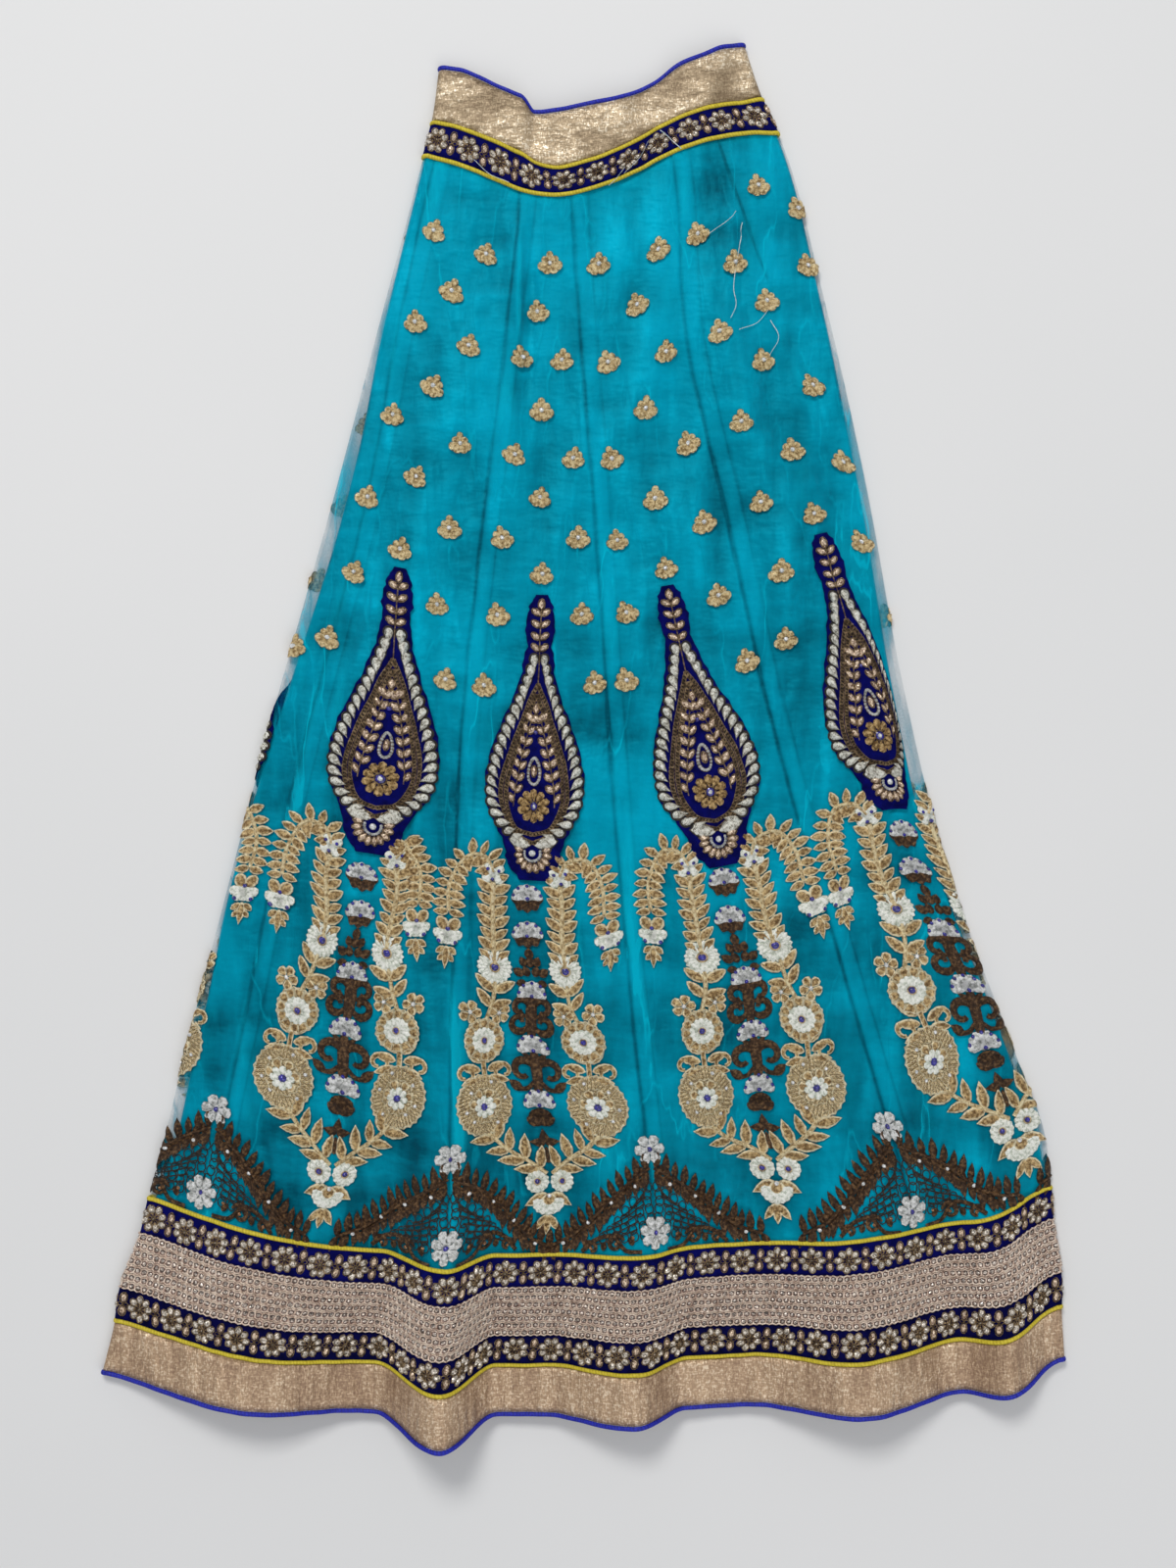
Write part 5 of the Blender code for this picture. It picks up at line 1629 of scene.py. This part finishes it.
def gore_stations(gore, down, count, near=SEAM_COLUMNS):
    """Stations of a gore's columns at each distance down: close together along its seams and round a side
    fold, and even between them."""

    def back_seam(number):
        return 2 + section("seam_5", down) + BACK_GORE * (number - 5)

    near = np.array(near)[None, :] / 1000 / gore_width(down)
    between = near[:, -1:] + (1 - 2 * near[:, -1:]) * np.linspace(0, 1, count)[None, 1:-1]
    even = np.concatenate([near, between, 1 - near[:, ::-1]], axis=1)
    if gore < 4:
        first, last = section(f"seam_{gore}", down), section(f"seam_{gore + 1}", down)
        return first + (last - first) * even
    turned = np.linspace(0, 1, 13)[None, :] + 0 * down
    if gore == 4:
        parts = [(section("seam_4", down), 1.0, even), (1.0, 2.0, turned), (2.0, back_seam(5), turned)]
    elif gore == 8:
        parts = [(back_seam(8), 3.0, turned), (3.0, 4.0, turned), (4.0, 4 + section("seam_1", down), turned)]
    else:
        parts = [(back_seam(gore), back_seam(gore + 1), even)]
    columns = [first + (last - first) * steps[:, 1:] for first, last, steps in parts]
    return np.concatenate([parts[0][0] + 0 * down] + columns, axis=1)


# The opening by the right seam: how far down, and where it lies as a share of the front's width.
PLACKET_DOWN = np.array([0.072, 0.100, 0.135, 0.189])
PLACKET_ACROSS = np.array([0.836, 0.843, 0.862, 0.896])

# Where the lining is narrower than the net: how far down, and how far in at the left and right edges.
Inset = namedtuple("Inset", "down left right")
LINING_INSETS = table(Inset,
    (0.074, 0.000, 0.000), (0.150, 0.001, 0.001), (0.220, 0.003, 0.002), (0.300, 0.008, 0.004),
    (0.380, 0.009, 0.005), (0.450, 0.007, 0.006), (0.540, 0.003, 0.008), (0.600, 0.001, 0.009),
    (0.660, 0.001, 0.006), (0.730, 0.005, 0.004), (0.800, 0.007, 0.004), (0.860, 0.007, 0.004),
    (0.892, 0.004, 0.003), (1.031, 0.004, 0.003),
)


def narrowed(points, down):
    """Draws the sides of a sheet in by the table's insets, fading out 90 mm from each edge."""
    left, right, _ = fold_ends(down)
    knots = column(LINING_INSETS, "down")
    in_left = smooth(down, knots, column(LINING_INSETS, "left"))
    in_right = smooth(down, knots, column(LINING_INSETS, "right"))
    from_left = ramp(1 - (points[..., 0] - left[..., 0]) / 0.09)
    from_right = ramp(1 - (right[..., 0] - points[..., 0]) / 0.09)
    moved = points.copy()
    moved[..., 0] += in_left * from_left - in_right * from_right
    return moved


def haze(station, down):
    """How thick and pale the net looks: more along the turned-in strips by the seams and at the sides, less
    on the seam lines as painted shade, and more on raised creases, partly thicker net and partly painted
    highlight.
    """
    part = np.floor(station % 4)
    across = np.where(part == 0, station % 4, 0.5)
    width = flat_width(down)
    value = 0.10 + 0 * across
    for number in (1, 2, 3, 4):
        apart = (across - section(f"seam_{number}", down)) * width
        # the strips beside the seams are thicker net; the seam lines get painted shade
        strip, line = np.exp(-(((apart - 0.006) / 0.006) ** 4)), np.exp(-((apart / 0.0012) ** 2))
        value = value + 0.30 * strip - 0.15 * line
    # raised creases: partly thicker net, partly painted highlight
    crease = long_fold_height(CREASES, across, down, width) / 0.0014
    value = value + 0.55 * np.clip(crease, 0, 1) ** 2 + 0.25 * np.exp(-across * width / 0.02) * (part == 0)
    return value + 0.25 * np.exp(-(1 - across) * width / 0.03) * (part == 0)


def seam_and_light_shade(station, down):
    """The lining's shade along its seams: a dark line of painted shade in the seam's dent, a paler strip of
    turned-in cloth, partly painted highlight, and a fainter line of painted shade at its edge; a line of
    painted shade in the placket's opening with a painted highlight beside it; and painted light, strongest
    at the waist, that turns to a little painted shade towards the hem.
    """
    part = np.floor(station % 4)
    girth = girth_of(station, down)
    value = 0 * girth
    for number in range(1, 9):
        apart = girth - seam_girth(number, down)
        # painted shade in each seam's dent and at its turned-in edge, and a paler strip between, partly
        # painted highlight
        line = np.exp(-((apart / 0.0011) ** 2))
        strip = np.exp(-(((apart - 0.0065) / 0.0050) ** 4))
        second = np.exp(-(((apart - 0.0125) / 0.0010) ** 2))
        value = value - 0.26 * line + 0.10 * strip - 0.13 * second
    placket = (station - smooth(down, PLACKET_DOWN, PLACKET_ACROSS)) * flat_width(down)
    ends = ramp((down - PLACKET_DOWN[0]) / 0.01) * ramp((PLACKET_DOWN[-1] - down) / 0.01) * (part == 0)
    # painted shade in the placket's opening, and a painted highlight beside it
    value = value - 0.42 * ends * np.exp(-((placket / 0.0010) ** 2))
    value = value + 0.12 * ends * bell((placket - 0.009) / 0.009)
    # painted light: lighter near the waist, a little darker towards the hem
    painted_light_falloff = 0.16 * ramp((0.55 - down) / 0.45) - 0.05 * ramp((down - 0.45) / 0.35)
    return (value + painted_light_falloff) * np.where(part == 0, 1.0, 0.6)


def face_area(points, faces):
    """The area of a mesh of quads, as two triangles each."""
    a, b, c, d = (points[faces[:, k]] for k in range(4))
    halves = np.cross(b - a, c - a), np.cross(c - a, d - a)
    return sum(np.linalg.norm(half, axis=1) for half in halves).sum() / 2


def lay_sheet(name, station, down, points, material, slot_name, shade, values):
    """A sheet of a gore from a grid of points, with the attribute its finish is shaded by, and its area."""
    faces = grid_faces(*station.shape)
    points = points.reshape(-1, 3)
    uv = np.stack([girth_of(station, down) * 1000, down * 1000], -1).reshape(-1, 2)
    piece = make_piece(name, points, faces, material, uv)
    piece.data.attributes.new(shade, "FLOAT", "POINT").data.foreach_set("value", values.ravel())
    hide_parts(slot_name)
    return piece, round(float(face_area(points, faces)), 4)


NET_ROWS, LINING_ROWS = 110, 100
NET_COLUMNS, LINING_COLUMNS = (44, 16), (52, 14)       # between the seams of a front gore and of a back gore
TUCK = 0.004                 # how far the sheets go on under the bands, and the lining at the hem
LINING_TUCK = 0.030
NET_LIFT = 0.0001
LINING_DEPTH = 0.0012
LINING_SAG = 0.0004          # how much deeper it lies on the front
LINING_SLACK = 0.45          # its own ripples as a share of the net's


def lay_gore(gore):
    """A gore's lining and its net, each one sheet."""
    down = np.linspace(net_top - TUCK, net_end + TUCK, NET_ROWS)[:, None]
    station = gore_stations(gore, down, NET_COLUMNS[gore > 4], SEAM_COLUMNS[::2])
    down = down + 0 * station
    points = raised(station, down, NET_LIFT)
    cloth = (TULLE, f"net_gore_{gore}", "haze", haze(station, down))
    net, area = lay_sheet(f"net_{gore}", station, down, points, *cloth)

    down = np.linspace(net_top - TUCK, net_end + LINING_TUCK, LINING_ROWS)[:, None]
    station = gore_stations(gore, down, LINING_COLUMNS[gore > 4])
    down = down + 0 * station
    lying = ramp(station / 0.05) * ramp((1 - station) / 0.05) * (station < 1) if gore < 4 else 0
    if gore in (4, 8):
        inside = np.where(station < 1, station, np.where(station > 4, station - 4, 0))
        lying = ramp(inside / 0.05) * ramp((1 - inside) / 0.05)
    slack = LINING_SLACK * ripples(station % 4, down, flat_width(down), 29) * lying
    points = narrowed(raised(station, down, -LINING_DEPTH + slack - LINING_SAG * np.sign(lying)), down)
    cloth = (SATIN, f"lining_gore_{gore}", "seam", seam_and_light_shade(station, down))
    lining, area = lay_sheet(f"lining_{gore}", station, down, points, *cloth)


def ring_columns():
    """Stations of the columns of a piece that goes right round: so many in each of its four parts."""
    parts = enumerate((320, 9, 80, 9))
    return np.concatenate([part + np.linspace(0, 1, steps + 1)[:-1] for part, steps in parts])


TISSUE_STAND = 0.0009        # how far each band's outside stands off the cloth's middle surface
VELVET_STAND = 0.0015
BRAID_STAND = 0.0018
BAND_DEPTH = 0.0009          # and how far in its inside lies
PIPING_RADIUS = 0.00175
PIPING_STAND = 0.0009        # from the middle surface out to a piping's middle line
PIPING_PITCH = 2.4           # millimetres along it for each turn of its covering
TRIM_HEIGHT = 24.5           # height in millimetres of the band that the trims' stones are drawn for
BRAID_ROWS = 7


def lay_band(name, start, end, stand, material, rows=7):
    """A flat band right round the skirt: a closed strip, whose outside stands off the cloth."""
    station = ring_columns()[None, :]
    down = np.linspace(start, end, rows)[:, None] + 0 * station
    station = station + 0 * down
    outer = raised(station, down, stand)
    inner = raised(station, down, -BAND_DEPTH)
    points = np.concatenate([outer.reshape(-1, 3), inner.reshape(-1, 3)])
    run = Run((start + end) / 2)
    length = np.interp(station, run.stations, run.lengths)
    uv = np.stack([length, (down - start) * 1000], -1).reshape(-1, 2)
    faces = wall_faces(rows, station.shape[1], True)
    piece = make_piece(name + "_cloth", points, faces, material, np.concatenate([uv, uv]))
    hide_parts(name)


def lay_piping(name, down, material, sides=8):
    """A round cord right round the skirt: a circle carried along a level line, a little proud."""
    station = ring_columns()[None, :]
    turn = (np.arange(sides) * 2 * math.pi / sides)[:, None]
    line = down + PIPING_RADIUS * np.cos(turn) + 0 * station
    points = raised(station + 0 * line, line, PIPING_STAND + PIPING_RADIUS * np.sin(turn) + 0 * line)
    index = np.arange(sides * station.size).reshape(sides, -1)
    index = np.concatenate([index, index[:1]])
    index = np.concatenate([index, index[:, :1]], 1)
    faces = np.stack([index[:-1, :-1], index[:-1, 1:], index[1:, 1:], index[1:, :-1]], -1).reshape(-1, 4)
    run = Run(down)
    length = np.interp(station, run.stations, run.lengths) + PIPING_PITCH * turn / (2 * math.pi)
    uv = np.stack([turn + 0 * line, length], -1).reshape(-1, 2)
    piece = make_piece(name + "_cord", points.reshape(-1, 3), faces, material, uv)
    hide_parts(name)


def sew(name, motif, slot_name, lay_on, *where):
    """Makes a piece of each thread of a motif. lay_on is the function that lays a shape, and where is what it
    needs to know besides."""
    for thread, shape in motif.items():
        points = lay_on(shape, *where)
        make_piece(f"{name}_{thread}", points, shape.faces, THREADS[thread], shape.uv, shape.edge_shade)


for gore in range(1, 9):
    lay_gore(gore)

lay_band("waist_tissue_band", tissue_top, tissue_end, TISSUE_STAND, WAIST_CLOTH, 9)
lay_band("waist_velvet_trim", velvet_top, velvet_end, VELVET_STAND, VELVET)
lay_band("hem_upper_velvet_trim", high_velvet_top, chain_top, VELVET_STAND, VELVET)
lay_band("hem_braided_trim", chain_top, low_velvet_top, BRAID_STAND, braid_ground(), 8)
lay_band("hem_lower_velvet_trim", low_velvet_top, low_velvet_end, VELVET_STAND, DARK_VELVET)
lay_band("hem_tissue_band", hem_tissue_top, hem_tissue_end, TISSUE_STAND, HEM_CLOTH, 8)
lay_piping("waist_edge_piping", CORD_SLOT / 2, BLUE_CORD)
lay_piping("waist_upper_piping", tissue_end + CORD_SLOT / 2, YELLOW_CORD)
lay_piping("waist_lower_piping", velvet_end + CORD_SLOT / 2, YELLOW_CORD)
lay_piping("hem_upper_piping", net_end + CORD_SLOT / 2, YELLOW_CORD)
lay_piping("hem_lower_piping", low_velvet_end + CORD_SLOT / 2, YELLOW_CORD)
lay_piping("hem_edge_piping", SKIRT_LENGTH - CORD_SLOT / 2, BLUE_CORD)

# ---- Embroidery, patches and trims ----
gore_motif = garland()
first_gore_motif = garland(60, 46)
border_motif = border()
for gore in range(1, 9):
    spots = np.array(FRONT_BUTIS.get(gore, BUTIS), float)
    random = np.random.default_rng(20 + gore)
    jitter = random.uniform(-0.28, 0.28, len(spots))
    flowers = place(buti(), spots[:, 1], spots[:, 0], jitter, random.uniform(0.94, 1.06, len(spots)))
    whole = merge(swayed(first_gore_motif if gore == 1 else gore_motif, gore), flowers)
    sew(f"gore_{gore}_work", whole, f"net_gore_{gore}", on_line, centre_girth, gore)
    edging = swayed(border_motif, 30 + gore, 0.7)
    sew(f"border_{gore}_work", edging, f"net_gore_{gore}", on_line, seam_girth, gore)

patch_motif = patch_work()
for gore in range(1, 9):
    points, faces, uv = patch_pad(gore)
    node = f"patch_{gore}" if gore in PATCHES else f"net_gore_{gore}"
    pad = make_piece(f"velvet_patch_{gore}", points, faces, VELVET, uv)
    if gore in PATCHES:
        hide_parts(node)
    sew(f"velvet_patch_{gore}", patch_motif, node, on_patch, gore)

for name, start, end, pitch, shift in (
    ("waist_velvet_trim", velvet_top, velvet_end, 26.0, 4.0),
    ("hem_upper_velvet_trim", high_velvet_top, chain_top, 26.5, 4.0),
    ("hem_lower_velvet_trim", low_velvet_top, low_velvet_end, 27.5, 15.0),
):
    middle_down = (start + end) / 2
    run = Run(middle_down)
    row = trim_row(run.total, pitch, shift, (end - start) * 1000 / TRIM_HEIGHT)
    sew(name, row, name, on_band, run, middle_down, VELVET_STAND * 1000)

middle_down = (chain_top + low_velvet_top) / 2
run = Run(middle_down)
links_motif = braid(run.total, BRAID_ROWS, HEM_CHAIN * 1000)
sew("hem_braided_trim", links_motif, "hem_braided_trim", on_band, run, middle_down, BRAID_STAND * 1000)

Strand = namedtuple("Strand", "lift path")
# Loose ends of thread: millimetres off the cloth, and their paths in millimetres from the left fold and down.
STRANDS = table(Strand,
    (1.0, [(249, 130), (246, 134), (231, 142)]),
    (1.6, [(256, 140), (258, 159), (259, 174), (261, 187), (266, 201), (264, 208)]),
    (1.2, [(293, 209), (290, 214), (273, 218)]),
    (1.2, [(297, 217), (307, 233), (303, 242)]),
    (4.4, [(171, 50), (182, 62), (193, 74)]),
    (4.4, [(163, 53), (157, 65), (149, 71)]),
    (4.2, [(148, 66), (143, 72), (138, 76)]),
    (4.4, [(34, 66), (45, 71), (61, 72)]),
)
strands = [
    stroke(curve(strand.path, 4 + 4 * len(strand.path)), 0.5, 0.45, 3).lifted(strand.lift)
    for strand in STRANDS
]
sew("waist", {"loose": join(*strands)}, "net_gore_4", on_front)


# ---- Floor, light and camera ----
HALF_FLOOR = 3.0
ROOM_COLOUR = (0.93, 0.95, 1.0, 1.0)
ROOM_STRENGTH = 0.42
SENSOR_HEIGHT = 24.0         # millimetres, as is the focal length
FOCAL_LENGTH = 29.0
CAMERA_PLACE = (0.0035, -0.0354, 1.45)


def lay_floor():
    corners = [(HALF_FLOOR * x, HALF_FLOOR * y, 0.0) for x, y in ((-1, -1), (1, -1), (1, 1), (-1, 1))]
    mesh = bpy.data.meshes.new("pale_floor_sheet")
    mesh.from_pydata(corners, [], [(0, 1, 2, 3)])
    mesh.materials.append(table_top())
    floor = bpy.data.objects.new("pale_floor_sheet", mesh)
    bpy.context.collection.objects.link(floor)


def hang_light(name, where, towards, size, power, tone):
    lamp = bpy.data.lights.new(name, "AREA")
    lamp.shape = "RECTANGLE"
    lamp.size, lamp.size_y = size
    lamp.energy = power
    lamp.color = tone
    light = bpy.data.objects.new(name, lamp)
    way = np.array(towards, float) - np.array(where, float)
    light.location = where
    light.rotation_euler = (
        math.atan2(math.hypot(way[0], way[1]), -way[2]), 0.0, math.atan2(way[1], way[0]) - math.pi / 2,
    )
    bpy.context.collection.objects.link(light)


lay_floor()
hang_light(
    "window", where=(-0.6, 2.1, 3.0), towards=(0, 0, 0),
    size=(1.3, 0.9), power=75.0, tone=(1.0, 0.985, 0.955),
)
hang_light(
    "room", where=(0.8, -1.8, 2.4), towards=(0.1, -0.4, 0),
    size=(2.4, 2.4), power=22.0, tone=(1.0, 0.99, 0.98),
)
world = bpy.data.worlds.new("soft_room")
world.use_nodes = True
background = world.node_tree.nodes["Background"].inputs
background["Color"].default_value = ROOM_COLOUR
background["Strength"].default_value = ROOM_STRENGTH
bpy.context.scene.world = world

lens = bpy.data.cameras.new("overhead")
lens.sensor_fit = "VERTICAL"
lens.sensor_height = SENSOR_HEIGHT
lens.lens = FOCAL_LENGTH
camera = bpy.data.objects.new("overhead", lens)
camera.location = CAMERA_PLACE
bpy.context.collection.objects.link(camera)
bpy.context.scene.camera = camera
bpy.context.scene.view_settings.view_transform = "Standard"
